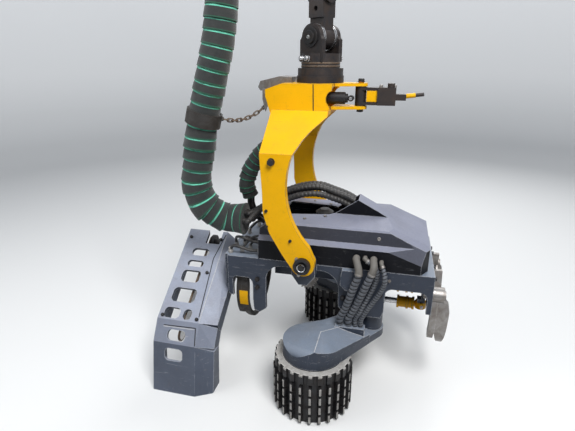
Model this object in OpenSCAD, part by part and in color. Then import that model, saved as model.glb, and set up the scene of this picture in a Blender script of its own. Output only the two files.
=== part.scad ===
// Harvester head: felling and delimbing head for a forest crane, resting on its feed rollers and saw box.
// +X runs along the stem from the saw to the front knives, +Z is up, and the floor is Z = 0.

/* [Feed rollers] */
// Distance of a roller's axis from the middle plane
roller_y = 420; // [380:5:460]
// Radius of a roller out to the tips of its ribs
roller_r = 210; // [190:5:225]
// Height of a roller
roller_h = 300; // [240:5:320]
// Ribs round a roller
roller_ribs = 26; // [20:1:30]

/* [Frame] */
// Half of the outer width of the frame
frame_y = 275; // [265:1:280]
// Height of the frame's top deck
frame_top = 735; // [730:1:740]
// Thickness of the frame's side plates
frame_t = 20; // [14:1:25]

/* [Tilt frame] */
// Height of the tilt pins
tilt_z = 766; // [760:1:772]
// Outer face of a leg from the middle plane
leg_y = 365; // [360:1:372]
// Thickness of a leg
leg_t = 38; // [30:1:40]
// Top of the cross beam
beam_top = 1641; // [1635:1:1650]
// Half of the cross beam's width
beam_y = 150; // [140:1:160]

/* [Rotator and link] */
// Radius of the rotator's drum
rotator_r = 120; // [110:1:128]
// Turn of the link's pins from the head's long axis, in degrees
link_turn = 58; // [40:1:70]
// Bore for the crane tip's pin
link_bore = 50; // [40:1:55]

/* [Saw] */
// Length of the guide bar from its pivot to its nose
bar_l = 640; // [560:10:660]
// Width of the guide bar
bar_w = 76; // [60:1:90]

/* [Hoses] */
// Radius of the large wrapped hose bundle
sleeve_r = 80; // [70:1:86]
// Radius of the small wrapped hose bundle
small_sleeve_r = 45; // [38:1:50]

/* [Hidden] */
$fn = 48;
roller_x = 110;
arm_x = 380;
arm_y = 170;
tilt_x = 33;
rotator_x = 40;
arm_z0 = roller_h + 8;
arm_z1 = arm_z0 + 140;
arm_hub_r = 72;
drum_cover_r = 168;
frame_x0 = -410;
frame_x1 = 690;
frame_in = frame_y - frame_t;
deck_t = 20;
hood_top = 954;
ridge_y = 60;
seat = 0.3;
pin_z0 = arm_z1 + seat;
knife_z = 600;
knife_y = 200;
knife_mid = [12, 480];
front_knife_x = frame_x1 + seat;
rear_knife_x = -374;
bar_x = -640;
bar_y = 40;
bar_z = 655;
bar_rest = 217;
saw_x0 = -770;
saw_x1 = -430;
bend_z = 1325;
lean = 0.844;
link_z0 = 1855;
link_z1 = 2060;
cyl_z = arm_z1 + 26;
cyl_end = [650, 95];
lever_r = 90;
lever_a = 70;
cheek_in = 50.1;
cheek_out = 76;

// Helpers: plates along the axes, rods between two points, arcs and hoses

module along_x(x0, x1) translate([x0, 0, 0]) rotate([90, 0, 90]) linear_extrude(x1 - x0) children();

module along_y(y0, y1) translate([0, y1, 0]) rotate([90, 0, 0]) linear_extrude(y1 - y0) children();

module both_sides() {
    children();
    mirror([0, 1, 0]) children();
}

module far_side() mirror([0, 1, 0]) children();

module both_ends() {
    children();
    mirror([1, 0, 0]) children();
}

module rod(a, b, r) {
    d = b - a;
    translate(a)
        rotate([0, acos(d[2] / norm(d)), atan2(d[1], d[0])])
        cylinder(h = norm(d), r = r);
}

function arc(c, r, a0, a1, n) = [
    for (i = [0:n]) let (a = a0 + (a1 - a0) * i / n) c + r * [cos(a), sin(a)]
];

function unit(v) = v / norm(v);

function bezier_step(a, b, c, d, t) = 0.5 * (2 * b + (c - a) * t + (2 * a - 5 * b + 4 * c - d) * t * t
    + (3 * b - a - 3 * c + d) * t * t * t);

function smooth(p, n) = [
    for (i = [0:len(p) - 2], k = [0:n - 1])
        bezier_step(p[max(i - 1, 0)], p[i], p[i + 1], p[min(i + 2, len(p) - 1)], k / n),
    p[len(p) - 1]
];

function tangent(p, i) = unit(p[min(i + 1, len(p) - 1)] - p[max(i - 1, 0)]);

function normals(p, i, n) = let (t = tangent(p, i), m = unit(n - (n * t) * t))
    i == len(p) - 1 ? [m] : concat([m], normals(p, i + 1, m));

module hose(route, r, steps = 3, sides = 8) {
    p = smooth(route, steps);
    m = normals(p, 0, [0.31, 0.9, 0.29]);
    points = [
        for (i = [0:len(p) - 1], k = [0:sides - 1])
            let (a = 360 * k / sides) p[i] + r * (cos(a) * m[i] + sin(a) * cross(tangent(p, i), m[i]))
    ];
    last = (len(p) - 1) * sides;
    polyhedron(points, concat(
        [[for (k = [0:sides - 1]) k]],
        [[for (k = [sides - 1:-1:0]) last + k]],
        [for (i = [0:len(p) - 2], k = [0:sides - 1])
            let (a = i * sides, n = (k + 1) % sides) [a + k, a + sides + k, a + sides + n]],
        [for (i = [0:len(p) - 2], k = [0:sides - 1])
            let (a = i * sides, n = (k + 1) % sides) [a + k, a + sides + n, a + n]]
    ));
}

// Main frame: two side plates with arches, deck, end plate, arm pin tubes

module side_outline() {
    polygon([
        [frame_x0, frame_top], [frame_x0, 500], [-385, 490], [-265, 470], [-262, 415], [-230, 400],
        [-190, 430], [-190, 560], [210, 560], [215, 500], [250, 462], [440, 462], [452, 500],
        [664, 520], [frame_x1, 520], [frame_x1, frame_top]
    ]);
}

module arch(x0, x1, z, r, q) {
    along_y(-400, 400) {
        translate([x0, 380]) square([x1 - x0, z - max(r, q) - 380]);
        translate([x0, 380]) square([r, z - r - 380]);
        translate([x1 - q, 380]) square([q, z - q - 380]);
        translate([x0 + r, 380]) square([x1 - x0 - r - q, z - 380]);
        translate([x0 + r, z - r]) circle(r);
        translate([x1 - q, z - q]) circle(q);
    }
}

// Lug of a tilt pin: its five-cornered lower part, up to a height
module lug_outline(top) {
    polygon([for (c = [[-58, top], [-66, 690], [-27, 634], [19, 634], [60, 690], [58, top]]) [tilt_x + c[0], c[1]]]);
}

module main_frame() color("#3b4452") {
    difference() {
        union() {
            both_sides() along_y(frame_in, frame_y) side_outline();
            translate([frame_x0, -frame_in - 1, frame_top - deck_t])
                cube([frame_x1 - frame_x0, 2 * frame_in + 2, deck_t]);
        }
        arch(-382, -266, 612, 22, 40);
        arch(-189, 212, 702, 90, 100);
        arch(453, 664, 640, 40, 40);
    }
    // Brackets that the hoses to the roller arms run over
    both_sides() along_y(frame_y - 1, frame_y + 32)
        polygon([[230, frame_top - 1], [222, 690], [222, 650], [250, 620], [296, 620], [314, 650], [300, frame_top - 1]]);
    // Belly plates that the stem bears on
    both_sides() difference() {
        translate([-188, 60, 560]) cube([400, 30, frame_top - 560 - deck_t + 1]);
        translate([120, 0, 640]) rotate([-90, 0, 0]) cylinder(h = 200, r = 30);
    }
    // Tubes of the roller arms' pins, with webs out to the side plates
    both_sides() {
        difference() {
            union() {
                translate([arm_x, arm_y, pin_z0]) cylinder(h = frame_top - deck_t - pin_z0 + 1, r = 56);
                translate([arm_x - 60, arm_y, 520]) cube([120, frame_in - arm_y + 1, 30]);
            }
            translate([arm_x, arm_y, pin_z0 - 1]) cylinder(h = 300, r = 30.5);
        }
        // Lugs that carry the tilt pins, outside the side plates
        difference() {
            union() {
                along_y(frame_y + seat, leg_y - leg_t - seat) {
                    translate([tilt_x, tilt_z - 14]) circle(58);
                    lug_outline(752);
                }
                along_y(frame_y - 1, leg_y - leg_t - 20) lug_outline(730);
            }
            translate([tilt_x, frame_y - 20, tilt_z]) rotate([-90, 0, 0]) cylinder(h = 80, r = 30.5);
        }
    }
}

// Plates at both ends, with the knives' pin bosses

module end_outline() {
    difference() {
        polygon([
            [seat - frame_in, frame_top - 1], [seat - frame_in, 545], [-200, 530], [-150, 560], [150, 560],
            [200, 530], [frame_in - seat, 545], [frame_in - seat, frame_top - 1]
        ]);
        for (s = [-1, 1]) translate([s * knife_y, knife_z]) circle(24.8);
    }
}

module front_plate() color("#3b4452") {
    difference() {
        along_x(frame_x1 - 22, frame_x1) end_outline();
        translate([frame_x1 - 40, -frame_in - 2, frame_top - deck_t - seat]) cube([60, 600, 60]);
    }
    both_sides() translate([cyl_end[0], cyl_end[1] - 22, cyl_z + 38]) cube([20, 44, 80]);
    both_sides() translate([cyl_end[0] - 20, cyl_end[1] - 22, cyl_z + 19 + seat]) cube([40, 44, 20]);
}

// Bracket between the frame and the saw box

module rear_bracket() color("#3b4452") {
    difference() {
        union() {
            along_x(saw_x1, frame_x0) end_outline();
            both_sides() translate([frame_x0 - 1, knife_y, knife_z]) rotate([0, 90, 0])
                cylinder(h = rear_knife_x - seat - frame_x0 + 1, r = 38);
        }
        both_sides() translate([saw_x1 - 1, knife_y, knife_z]) rotate([0, 90, 0]) cylinder(h = 60, r = 24.8);
        translate([saw_x1 - 1, bar_y, bar_z]) rotate([0, 90, 0]) cylinder(h = 60, r = 56 + seat);
    }
}

// Hood: a faceted shell over the valves, with a raised ridge that takes the hoses

module hood_section(d) {
    polygon([
        [-275 + d, frame_top], [-275 + d, 845], [-248 + d, 866 - d / 3], [-233 + d, 930 - d], [-224 + d, 938 - d],
        [-60, hood_top - d], [60, hood_top - d],
        [224 - d, 938 - d], [233 - d, 930 - d], [248 - d, 866 - d / 3], [275 - d, 845], [275 - d, frame_top]
    ]);
}

module hood_side(d) {
    polygon([
        [-230, frame_top], [-230, 900 - d], [-150, hood_top - d], [437 - d / 2, hood_top - d], [655 - d, 862 - d],
        [655 - d, frame_top]
    ]);
}

// Scoop over the hoses: side view of its cheeks
module ridge_side(d) {
    polygon([[153 + 2 * d, 800], [153 + 2 * d, hood_top], [275, 1040 - 1.4 * d], [437 - d, hood_top - d], [437 - d, 800]]);
}

// Corners of the hood, cut by planes. Columns: a point of the plane, then its normal
hood_corners = [
    [[477, -172, 942], [4338, -3320, 10580]],
    [[579, -248, 866], [864, -5944, 2430]]
];

module beyond(p, n, d) let (u = unit(n)) translate(p - u * d) rotate([0, acos(u[2]), atan2(u[1], u[0])])
    translate([-300, -300, 0]) cube([600, 600, 400]);

module hood_solid(d) {
    difference() {
        intersection() {
            along_x(-230 - d, 655) hood_section(d);
            along_y(-275, 275) hood_side(d);
            linear_extrude(1100) polygon([
                [-300, -275 + d], [618 - d, -275 + d], [655 - d, -215 + d], [655 - d, 215 - d], [618 - d, 275 - d],
                [-300, 275 - d]
            ]);
        }
        both_sides() for (c = hood_corners) beyond(c[0], c[1], d);
    }
    along_y(d - ridge_y, ridge_y - d) ridge_side(d);
}

module hood() color("#2b2f37") {
    difference() {
        hood_solid(0);
        translate([0, 0, -0.5]) hood_solid(8);
        // Open back of the scoop, where the hoses go in, and the opening under them
        translate([100, 8 - ridge_y, hood_top + 1]) cube([175, 2 * ridge_y - 16, 100]);
        translate([0, 0, hood_top - 60]) linear_extrude(100) polygon([
            [-130, -118], [120, -80], [153, 8 - ridge_y], [262, 8 - ridge_y], [262, ridge_y - 8], [153, ridge_y - 8],
            [120, 80], [-130, 118]
        ]);
    }
}

// Valve block under the hood's opening, with the round cap of its accumulator

module valve_block() color("#5b5f66") {
    translate([-110, -60, frame_top + seat]) cube([340, 120, 130]);
    translate([85, 0, frame_top + 130]) cylinder(h = 76, r = 50);
    translate([85, 0, frame_top + 206]) cylinder(h = 16, r1 = 50, r2 = 26);
}

// Saw box: a bent channel over the guide bar, its outer face with slots

saw_outer = [[20, 745], [-460, 395], [-525, 285], [-580, 0]];
saw_inner = [[20, 600], [-375, 300], [-415, 235], [-440, 0]];

module saw_piece(i, d) {
    hull() {
        along_x(saw_x0, -520) saw_quad(i, 0);
        along_x(-470, saw_x1) saw_quad(i, d);
    }
}

module saw_quad(i, d) {
    polygon([saw_outer[i] + [d, -d], saw_outer[i + 1] + [d, -d * 0.6], saw_inner[i + 1], saw_inner[i]]);
}

// Slots of the outer face: place along the face from its top, place along X, width, height
saw_slots = [
    [158, -650, 109, 50], [237, -658, 101, 42], [322, -659, 116, 76], [443, -660, 142, 86], [554, -694, 95, 62],
    [554, -601, 50, 62], [676, -640, 107, 60], [786, -648, 105, 72]
];
slot_corner = 24;

module saw_slot(w, h) linear_extrude(90, center = true) {
    r = min(slot_corner, w / 2 - 0.5, h / 2 - 0.5);
    square([w - 2 * r, h], center = true);
    square([w, h - 2 * r], center = true);
    for (x = [-1, 1], y = [-1, 1]) translate([x * (w / 2 - r), y * (h / 2 - r)]) circle(r);
}

module saw_slot_row(i, s0) {
    a = saw_outer[i];
    b = saw_outer[i + 1];
    u = unit(b - a);
    for (s = saw_slots) if (s[0] > s0 && s[0] < s0 + norm(b - a)) {
        c = a + u * (s[0] - s0);
        translate([s[1], c[0], c[1]]) rotate([atan2(u[1], u[0]), 0, 0]) saw_slot(s[2], s[3]);
    }
}

module saw_hollow(x0, x1, d) {
    along_x(x0, x1) polygon([
        [30, 726 - d], [-452 + d, 374 - d * 0.6], [-511 + d, 278 - d * 0.4], [-564 + d, 14], [-400, 14],
        [-370, 200], [30, 500]
    ]);
}

module saw_box() color("#5a6473") {
    difference() {
        intersection() {
            union() for (i = [0:2]) saw_piece(i, 45);
            translate([-900, -700, 0]) cube([600, 720, 800]);
        }
        saw_hollow(saw_x0 + 14, -505, 0);
        saw_hollow(-506, saw_x1 - 14, 46);
        saw_slot_row(0, 0);
        saw_slot_row(1, 594);
        saw_slot_row(2, 722);
        // Notch in the top edge
        translate([-640, -55, 600]) cube([90, 80, 160]);
        translate([-470, bar_y, bar_z]) rotate([0, 90, 0]) cylinder(h = 60, r = 34);
    }
}

module saw_motor() color("#20242b") {
    translate([saw_x1 + seat, bar_y, bar_z]) rotate([0, 90, 0]) cylinder(h = 98, r = 56);
    translate([saw_x1 - 195, bar_y, bar_z]) rotate([0, 90, 0]) cylinder(h = 196, r = 24);
    translate([bar_x + 6 + seat, bar_y, bar_z]) rotate([0, 90, 0]) cylinder(h = 22, r = 50);
}

module bar_place() translate([bar_x, bar_y, bar_z]) rotate([bar_rest, 0, 0]) children();

module saw_bar() color("#8a8f96") bar_place() rotate([90, 0, 90]) translate([0, 0, -6]) linear_extrude(12) {
    translate([0, -bar_w / 2 + 8]) square([bar_l - bar_w / 2, bar_w - 16]);
    translate([bar_l - bar_w / 2, 0]) circle(bar_w / 2 - 8);
    circle(bar_w / 2 - 8);
}

module saw_chain() color("#55585c") bar_place() rotate([90, 0, 90]) translate([0, 0, -5]) linear_extrude(10) {
    difference() {
        union() {
            translate([0, -bar_w / 2]) square([bar_l - bar_w / 2, bar_w]);
            translate([bar_l - bar_w / 2, 0]) circle(bar_w / 2);
            circle(bar_w / 2);
        }
        translate([0, -bar_w / 2 + 8]) square([bar_l - bar_w / 2, bar_w - 16]);
        translate([bar_l - bar_w / 2, 0]) circle(bar_w / 2 - 8);
        circle(bar_w / 2 - 8);
    }
}

// Pins

module tilt_pins() color("#4a4a4a") both_sides() {
    translate([tilt_x, frame_y + 1, tilt_z]) rotate([-90, 0, 0]) cylinder(h = leg_y + 8 - frame_y, r = 30);
    translate([tilt_x, leg_y + seat, tilt_z]) rotate([-90, 0, 0]) difference() {
        cylinder(h = 22, r = 44);
        translate([0, 0, 10]) cylinder(h = 20, r = 30);
    }
    translate([tilt_x, leg_y, tilt_z]) rotate([-90, 0, 0]) cylinder(h = 34, r = 17, $fn = 6);
}

module arm_pins() color("#4a4a4a") both_sides() {
    translate([arm_x, arm_y, arm_z0 - 14]) cylinder(h = frame_top - deck_t - arm_z0 + 14, r = 30);
    translate([arm_x, arm_y, arm_z0 - 20 - seat]) cylinder(h = 20, r = 42);
}

// Roller arms: a housing over the drum that narrows to the arm's pin

// Outline of a belt round two circles
function belt(a, r, b, q, n) = let (
    d = b - a,
    w = atan2(d[1], d[0]),
    t = acos((r - q) / norm(d))
) concat(arc(a, r, w + t, w + 360 - t, n), arc(b, q, w - t, w + t, round(n / 2)));

drum_at = [roller_x, -roller_y];
arm_at = [arm_x, -arm_y];
lever_at = arm_at + lever_r * [cos(lever_a), sin(lever_a)];

// Ridge of the housing's top: place and height over the arm's underside
arm_ridge = [[135, -500, 54], [138, -375, 86], [173, -235, 90], [307, -110, 90]];
hose_block_x = 208;
hose_block_y = -304;
hose_block_h = 104;

module roller_arm() color("#465062") {
    difference() {
        union() {
            hull() {
                translate([0, 0, arm_z0]) linear_extrude(44) polygon(belt(drum_at, drum_cover_r, arm_at, 80, 28));
                for (c = arm_ridge) translate([c[0], c[1], arm_z0]) cylinder(h = c[2], r = 2, $fn = 6);
            }
            // Block that takes the hoses
            translate([hose_block_x, hose_block_y - 26, arm_z0]) cube([156, 52, hose_block_h]);
            translate([arm_x, -arm_y, arm_z0]) cylinder(h = arm_z1 - arm_z0, r = arm_hub_r);
            // Lever that the arm's cylinder pushes
            translate([0, 0, arm_z1 - 22]) linear_extrude(22) polygon(belt(arm_at, 50, lever_at, 30, 20));
        }
        translate([arm_x, -arm_y, arm_z0 - 1]) cylinder(h = 200, r = 30.5);
        translate([roller_x, -roller_y, arm_z0 - 1]) cylinder(h = 60, r = 110);
    }
}

module roller_arm_near() roller_arm();

module roller_arm_far() far_side() roller_arm();

module roller_motor() color("#2a2d33") {
    translate([roller_x, -roller_y, arm_z0 - 6]) cylinder(h = 65, r = 108);
    translate([roller_x, -roller_y, 150 + seat]) cylinder(h = arm_z0 - 153, r = 70);
}

module roller_motor_near() roller_motor();

module roller_motor_far() far_side() roller_motor();

// Feed roller: drum with upright rows of lugs and a toothed top rim

drum_r = roller_r - 26;
rib_pitch = 360 / roller_ribs;

function polar(r, a) = r * [cos(a), sin(a)];

// Outline with a tooth at each rib: tip and root radius, half widths of tip and root in degrees
function toothed(tip, root, a, b) = [
    for (i = [0:roller_ribs - 1]) let (c = i * rib_pitch)
        each [polar(root, c - b), polar(tip, c - a), polar(tip, c + a), polar(root, c + b), polar(root, c + rib_pitch / 2)]
];

function plain_ring(root, b) = [
    for (i = [0:roller_ribs - 1]) let (c = i * rib_pitch)
        each [polar(root, c - b), polar(root, c + b), polar(root, c + rib_pitch / 2)]
];

// Layers of the drum from the floor up: height, 1 with lugs or 0 without
drum_layers = [[14, 0], [48, 1], [10, 0], [48, 1], [10, 0], [48, 1], [10, 0], [48, 1], [12, 0]];

function layer_z(i) = i == 0 ? 0 : layer_z(i - 1) + drum_layers[i - 1][0];

module feed_roller() color("#33353a") translate([roller_x, -roller_y, 0]) {
    difference() {
        union() {
            for (i = [0:len(drum_layers) - 1]) translate([0, 0, layer_z(i)]) linear_extrude(drum_layers[i][0])
                polygon(drum_layers[i][1] == 1 ? toothed(roller_r, drum_r, 1.9, 2.6) : plain_ring(drum_r, 2.6));
            translate([0, 0, layer_z(len(drum_layers))]) linear_extrude(roller_h - layer_z(len(drum_layers)))
                polygon(toothed(roller_r - 8, roller_r - 18, 3.6, 4.4));
        }
        translate([0, 0, 110]) cylinder(h = roller_h, r = 130);
    }
    cylinder(h = 150, r = 60);
}

module feed_roller_near() feed_roller();

module feed_roller_far() far_side() feed_roller();

// Cylinders that close the roller arms, from the front plate to the arms' levers

module cylinder_dir(a, b) translate(a) rotate([0, 0, atan2(b[1] - a[1], b[0] - a[0])]) children();

lever_pin = [lever_at[0], lever_at[1], cyl_z];
cyl_foot = [cyl_end[0], -cyl_end[1], cyl_z];

module arm_cylinder() color("#f0aa00") {
    cylinder_dir(cyl_foot, lever_pin) {
        difference() {
            union() {
                translate([0, 0, -19]) cylinder(h = 38, r = 30);
                rotate([0, 90, 0]) cylinder(h = 60, r = 17);
                translate([34, 0, 0]) rotate([0, 90, 0]) cylinder(h = 94, r = 30);
                for (x = [34, 66, 116]) translate([x, 0, 0]) rotate([0, 90, 0]) cylinder(h = 12, r = 36);
            }
            translate([40, 0, 0]) rotate([0, 90, 0]) cylinder(h = 100, r = 16.5);
        }
    }
}

module arm_cylinder_near() arm_cylinder();

module arm_cylinder_far() far_side() arm_cylinder();

module arm_rod() color("#b8bcc2") {
    cylinder_dir(lever_pin, cyl_foot) {
        translate([0, 0, arm_z1 + seat - cyl_z]) cylinder(h = 45, r = 28);
        rotate([0, 90, 0]) cylinder(h = 150, r = 16);
    }
}

module arm_rod_near() arm_rod();

module arm_rod_far() far_side() arm_rod();

// Knives: curved blades that close round the stem

module knife_blade(r0, r1, a0, a1) {
    polygon(concat(arc([0, 0], r1, a0, a1, 24), arc([0, 0], r0, a1, a0, 24)));
}

module knife(w) {
    intersection() {
        along_x(0, w) translate([-knife_mid[0], knife_mid[1]]) knife_blade(214, 238, 148, 270);
        along_y(-300, 0) polygon([
            [0, 700], [0, 500], [w * 0.74, 240], [w * 0.9, 240], [w, 530], [w * 0.92, 572], [w * 0.3, 620], [w * 0.3, 700]
        ]);
    }
    along_x(0, 30) translate([-knife_mid[0], knife_mid[1]]) knife_blade(192, 240, 148, 215);
    translate([0, -knife_y, knife_z]) rotate([0, 90, 0]) cylinder(h = 62, r = 42);
    translate([-40, -knife_y, knife_z]) rotate([0, 90, 0]) cylinder(h = 110, r = 24.5);
}

module front_knife_near() color("#8d8f92") translate([front_knife_x, 0, 0]) knife(92);

module front_knife_far() color("#8d8f92") far_side() translate([front_knife_x, 0, 0]) knife(92);

module rear_knife_near() color("#55595f") translate([rear_knife_x, 0, 0]) knife(72);

module rear_knife_far() color("#55595f") far_side() translate([rear_knife_x, 0, 0]) knife(72);

module top_knife() color("#8d8f92") {
    difference() {
        along_x(frame_x1, frame_x1 + 50) polygon([
            [-120, 700], [-150, 610], [-90, 548], [0, 530], [90, 548], [150, 610], [120, 700]
        ]);
        along_x(frame_x1 - 1, frame_x1 + 60) polygon([
            [-90, 720], [-120, 620], [-75, 572], [0, 556], [75, 572], [120, 620], [90, 720]
        ]);
    }
}

// Measuring wheel on its arm, between the belly plates

module measuring_arm() color("#3b4452") {
    difference() {
        along_y(-14, 14) polygon([[-104, 662], [-56, 662], [16, 520], [8, 486], [-24, 486]]);
        translate([-8, -20, 506]) rotate([-90, 0, 0]) cylinder(h = 40, r = 8.3);
    }
    translate([-80, -60 + seat, 662]) rotate([-90, 0, 0]) cylinder(h = 120 - 2 * seat, r = 20);
}

module measuring_wheel() color("#6f747b") {
    both_sides() translate([-8, 14 + seat, 506]) rotate([-90, 0, 0]) {
        cylinder(h = 12, r = 52);
        for (i = [0:17]) rotate([0, 0, 20 * i]) translate([50, -4, 0]) cube([12, 8, 12]);
    }
    translate([-8, -20, 506]) rotate([-90, 0, 0]) cylinder(h = 40, r = 8);
}

// Tilt frame: two bent legs and a cross beam

// Side view of a leg, from its pin's round end up to the beam
module leg_outline() {
    polygon(concat(
        [[-181, 1522], [-184, bend_z], [-173, 1140], [-171, 1030], [-139, 926], [-71, 811]],
        arc([tilt_x, tilt_z], 62, 200, 350, 14),
        [[97, 790]],
        arc([385, 1165], 440, 223, 158.5, 14),
        [[9, 1386], [40, 1424], [109, 1488], [109, 1522]]
    ));
}

// Front view of a leg: upright, then bent in towards the beam
module leg_section() {
    in = leg_y - leg_t;
    polygon([
        [leg_y, 690], [leg_y, bend_z + 7], [beam_y - 10, bend_z + 7 + lean * (leg_y - beam_y + 10)],
        [beam_y - 10, bend_z - 11 + lean * (in - beam_y + 10)], [in, bend_z - 11], [in, 690]
    ]);
}

module tilt_frame() color("#f0aa00") {
    both_sides() difference() {
        intersection() {
            along_y(0, 400) leg_outline();
            along_x(-300, 300) leg_section();
        }
        translate([tilt_x, leg_y - leg_t - 5, tilt_z]) rotate([-90, 0, 0]) cylinder(h = 80, r = 30.5);
    }
    difference() {
        along_y(-beam_y, beam_y) polygon([
            [-214, 1580], [-181, 1472], [109, 1491], [126, beam_top], [-130, beam_top], [-214, 1612]
        ]);
        translate([50, -beam_y + 16, 1512]) cube([120, 2 * beam_y - 32, 112]);
        translate([138, 0, 1568]) rotate([90, 0, 0]) cylinder(h = 400, r = 44, center = true);
    }
}

module bumper() color("#6b6a66") {
    along_y(-70, 70) polygon([
        [-275, 1618], [-262, 1600], [-216, 1600], [-214, 1612], [-130, beam_top], [-95, beam_top], [-95, 1668], [-160, 1672], [-262, 1648]
    ]);
    // Lug under it for the chain
    along_y(-122, -108) polygon([[-214, 1612], [-214, 1580], [-206, 1552], [-222, 1500], [-236, 1560], [-236, 1612]]);
    chain_ear(chain_links - 1, 1, 24);
}

// Fork at the beam's end and its guide arm

module fork() color("#f0aa00") {
    hull() {
        translate([112, -80, 1513]) cube([10, 160, 16]);
        translate([250, 0, 1513]) cylinder(h = 16, r = 34);
    }
    hull() {
        translate([127, -80, 1626]) cube([10, 160, 15]);
        translate([250, 0, 1626]) cylinder(h = 15, r = 34);
    }
    translate([250, 0, 1513]) cylinder(h = 134, r = 14);
}

module guide_arm() color("#2a2d33") {
    difference() {
        union() {
            translate([250, 0, 1529 + seat]) cylinder(h = 97 - 2 * seat, r = 28);
            for (z = [1535, 1607]) hull() {
                translate([250, 0, z]) cylinder(h = 14, r = 28);
                translate([360, 0, z]) cylinder(h = 14, r = 32);
            }
            translate([335, -40, 1535]) cube([90, 80, 86]);
            translate([425, -26, 1560]) cube([50, 52, 30]);
        }
        translate([250, 0, 1500]) cylinder(h = 200, r = 14.5);
    }
    rod([475, 0, 1580], [560, 0, 1590], 9);
}

module guide_rollers() color("#3a3a3a") {
    for (y = [-20, 20]) translate([400, y, 1621]) cylinder(h = 20, r = 18);
}

// Rotator, link and brake

module rotator_base() color("#1d1f22") {
    translate([rotator_x, 0, beam_top]) cylinder(h = 34, r = rotator_r);
}

module at_link() translate([rotator_x, 0, 0]) rotate([0, 0, link_turn]) children();

module rotator() color("#2b2522") {
    translate([rotator_x, 0, beam_top + 34 + seat]) cylinder(h = 36, r = rotator_r - 4);
    translate([rotator_x, 0, beam_top + 69]) cylinder(h = 70, r = 98);
    at_link() for (s = [-1, 1]) difference() {
        along_x(s > 0 ? cheek_in : -cheek_out, s > 0 ? cheek_out : -cheek_in) {
            translate([-74, beam_top + 100]) square([148, 105]);
            translate([0, link_z0]) circle(62);
            translate([-74, 1840]) polygon([[0, 0], [148, 0], [130, 30], [18, 30]]);
        }
        translate([-100, 0, link_z0]) rotate([0, 90, 0]) cylinder(h = 200, r = 24.5);
    }
}

module rotator_pin() color("#8a8a88") at_link() translate([-92, 0, link_z0]) rotate([0, 90, 0]) cylinder(h = 184, r = 24);

module link() color("#2b2522") at_link() difference() {
    union() {
        translate([-34, 0, link_z0]) rotate([0, 90, 0]) cylinder(h = 68, r = 56);
        translate([-34, -46, link_z0]) cube([68, 92, 130]);
        translate([-46, -46, link_z0 + 90]) cube([92, 92, 110]);
        translate([0, -60, link_z1]) rotate([-90, 0, 0]) cylinder(h = 120, r = 52);
    }
    translate([-100, 0, link_z0]) rotate([0, 90, 0]) cylinder(h = 200, r = 24.5);
    translate([0, -100, link_z1]) rotate([-90, 0, 0]) cylinder(h = 200, r = link_bore / 2);
    translate([-60, 0, 1985]) rotate([0, 90, 0]) cylinder(h = 120, r = 12);
}

// Brake discs between the link's hub and the cheeks: start from the middle, radius
disc_table = [[34, 62], [39.4, 55], [44.8, 62]];

module brake_discs() color("#b0aca4") at_link() both_ends() for (d = disc_table) difference() {
    translate([d[0], 0, link_z0]) rotate([0, 90, 0]) cylinder(h = 5, r = d[1]);
    translate([d[0] - 1, 0, link_z0]) rotate([0, 90, 0]) cylinder(h = 8, r = 24.5);
}

// Hoses and their wraps

sleeve_end_x = -322;

sleeve_route = [
    [-384, -230, 2040], [-413, -240, 1840], [-458, -250, 1658], [-518, -250, 1440], [-554, -250, 1255],
    [-573, -250, 1120], [-530, -240, 1000], [-440, -210, 935], [-385, -200, 930], [-354, -200, 930],
    [sleeve_end_x, -200, 930]
];

module hose_sleeve() color("#33463f") hose(sleeve_route, sleeve_r, 3, 12);

branch_route = [
    [-60, -95, 1415], [-120, -110, 1385], [-190, -115, 1325], [-262, -120, 1215], [-296, -122, 1110],
    [-290, -110, 1040]
];

// Bare hoses at both ends of the small wrap, side by side: offset along Y
branch_hoses = [-18, 18];

module hose_branch() color("#33463f") {
    hose(branch_route, small_sleeve_r, 3, 10);
    for (y = branch_hoses) {
        hose([[-288, y - 110, 1046], [-318, y - 70, 960], [-300, y, 870], [-232, y + 20, 830]], 15, 3, 8);
        hose([[-66, y - 95, 1416], [0, y - 60, 1440], [60, y - 30, 1473]], 15, 3, 8);
    }
}

module hose_clamp() color("#35322e") {
    translate([-508, -250, 1476]) rotate([0, 15.5, 0]) difference() {
        translate([0, 0, -35]) cylinder(h = 70, r = sleeve_r + 10);
        translate([0, 0, -40]) cylinder(h = 90, r = sleeve_r + 1.2);
    }
    chain_ear(0, -1, 12);
}

// Chain from the clamp to the cross beam, hanging a little: its ends, links, sag and wire
chain_from = [-408, -235, 1470];
chain_to = [-238, -115, 1515];
chain_links = 9;
chain_sag = 28;
wire_r = 3.4;
link_bend_r = 8;
chain_way = chain_to - chain_from;
link_l = norm(chain_way) / chain_links + 9.5;

module at_chain(i) {
    f = (i + 0.5) / chain_links;
    translate(chain_from + chain_way * f - [0, 0, 4 * chain_sag * f * (1 - f)])
        rotate([0, 0, atan2(chain_way[1], chain_way[0])])
        rotate([0, -asin(chain_way[2] / norm(chain_way)) + 28 * (1 - 2 * f), 0])
        children();
}

module chain_link() {
    for (s = [-1, 1]) {
        translate([s * (link_l / 2 - link_bend_r), 0, 0]) rotate([0, 0, s > 0 ? -90 : 90])
            rotate_extrude(angle = 180) translate([link_bend_r, 0]) circle(wire_r, $fn = 16);
        translate([link_bend_r - link_l / 2, s * link_bend_r, 0]) rotate([0, 90, 0])
            cylinder(h = link_l - 2 * link_bend_r, r = wire_r, $fn = 16);
    }
}

module chain() color("#4a4038") for (i = [0:chain_links - 1]) at_chain(i) rotate([90 * (i % 2), 0, 0]) chain_link();

// Ear that an end link hangs in: upright plate with a hole round the link's wire
module chain_ear(i, s, l) at_chain(i) difference() {
    translate([s * link_l / 2 - (s > 0 ? 5 : l), -2.5, -10]) cube([l + 5, 5, 20]);
    translate([s * link_l / 2, -5, 0]) rotate([-90, 0, 0]) cylinder(h = 10, r = wire_r + 0.9);
}

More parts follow.
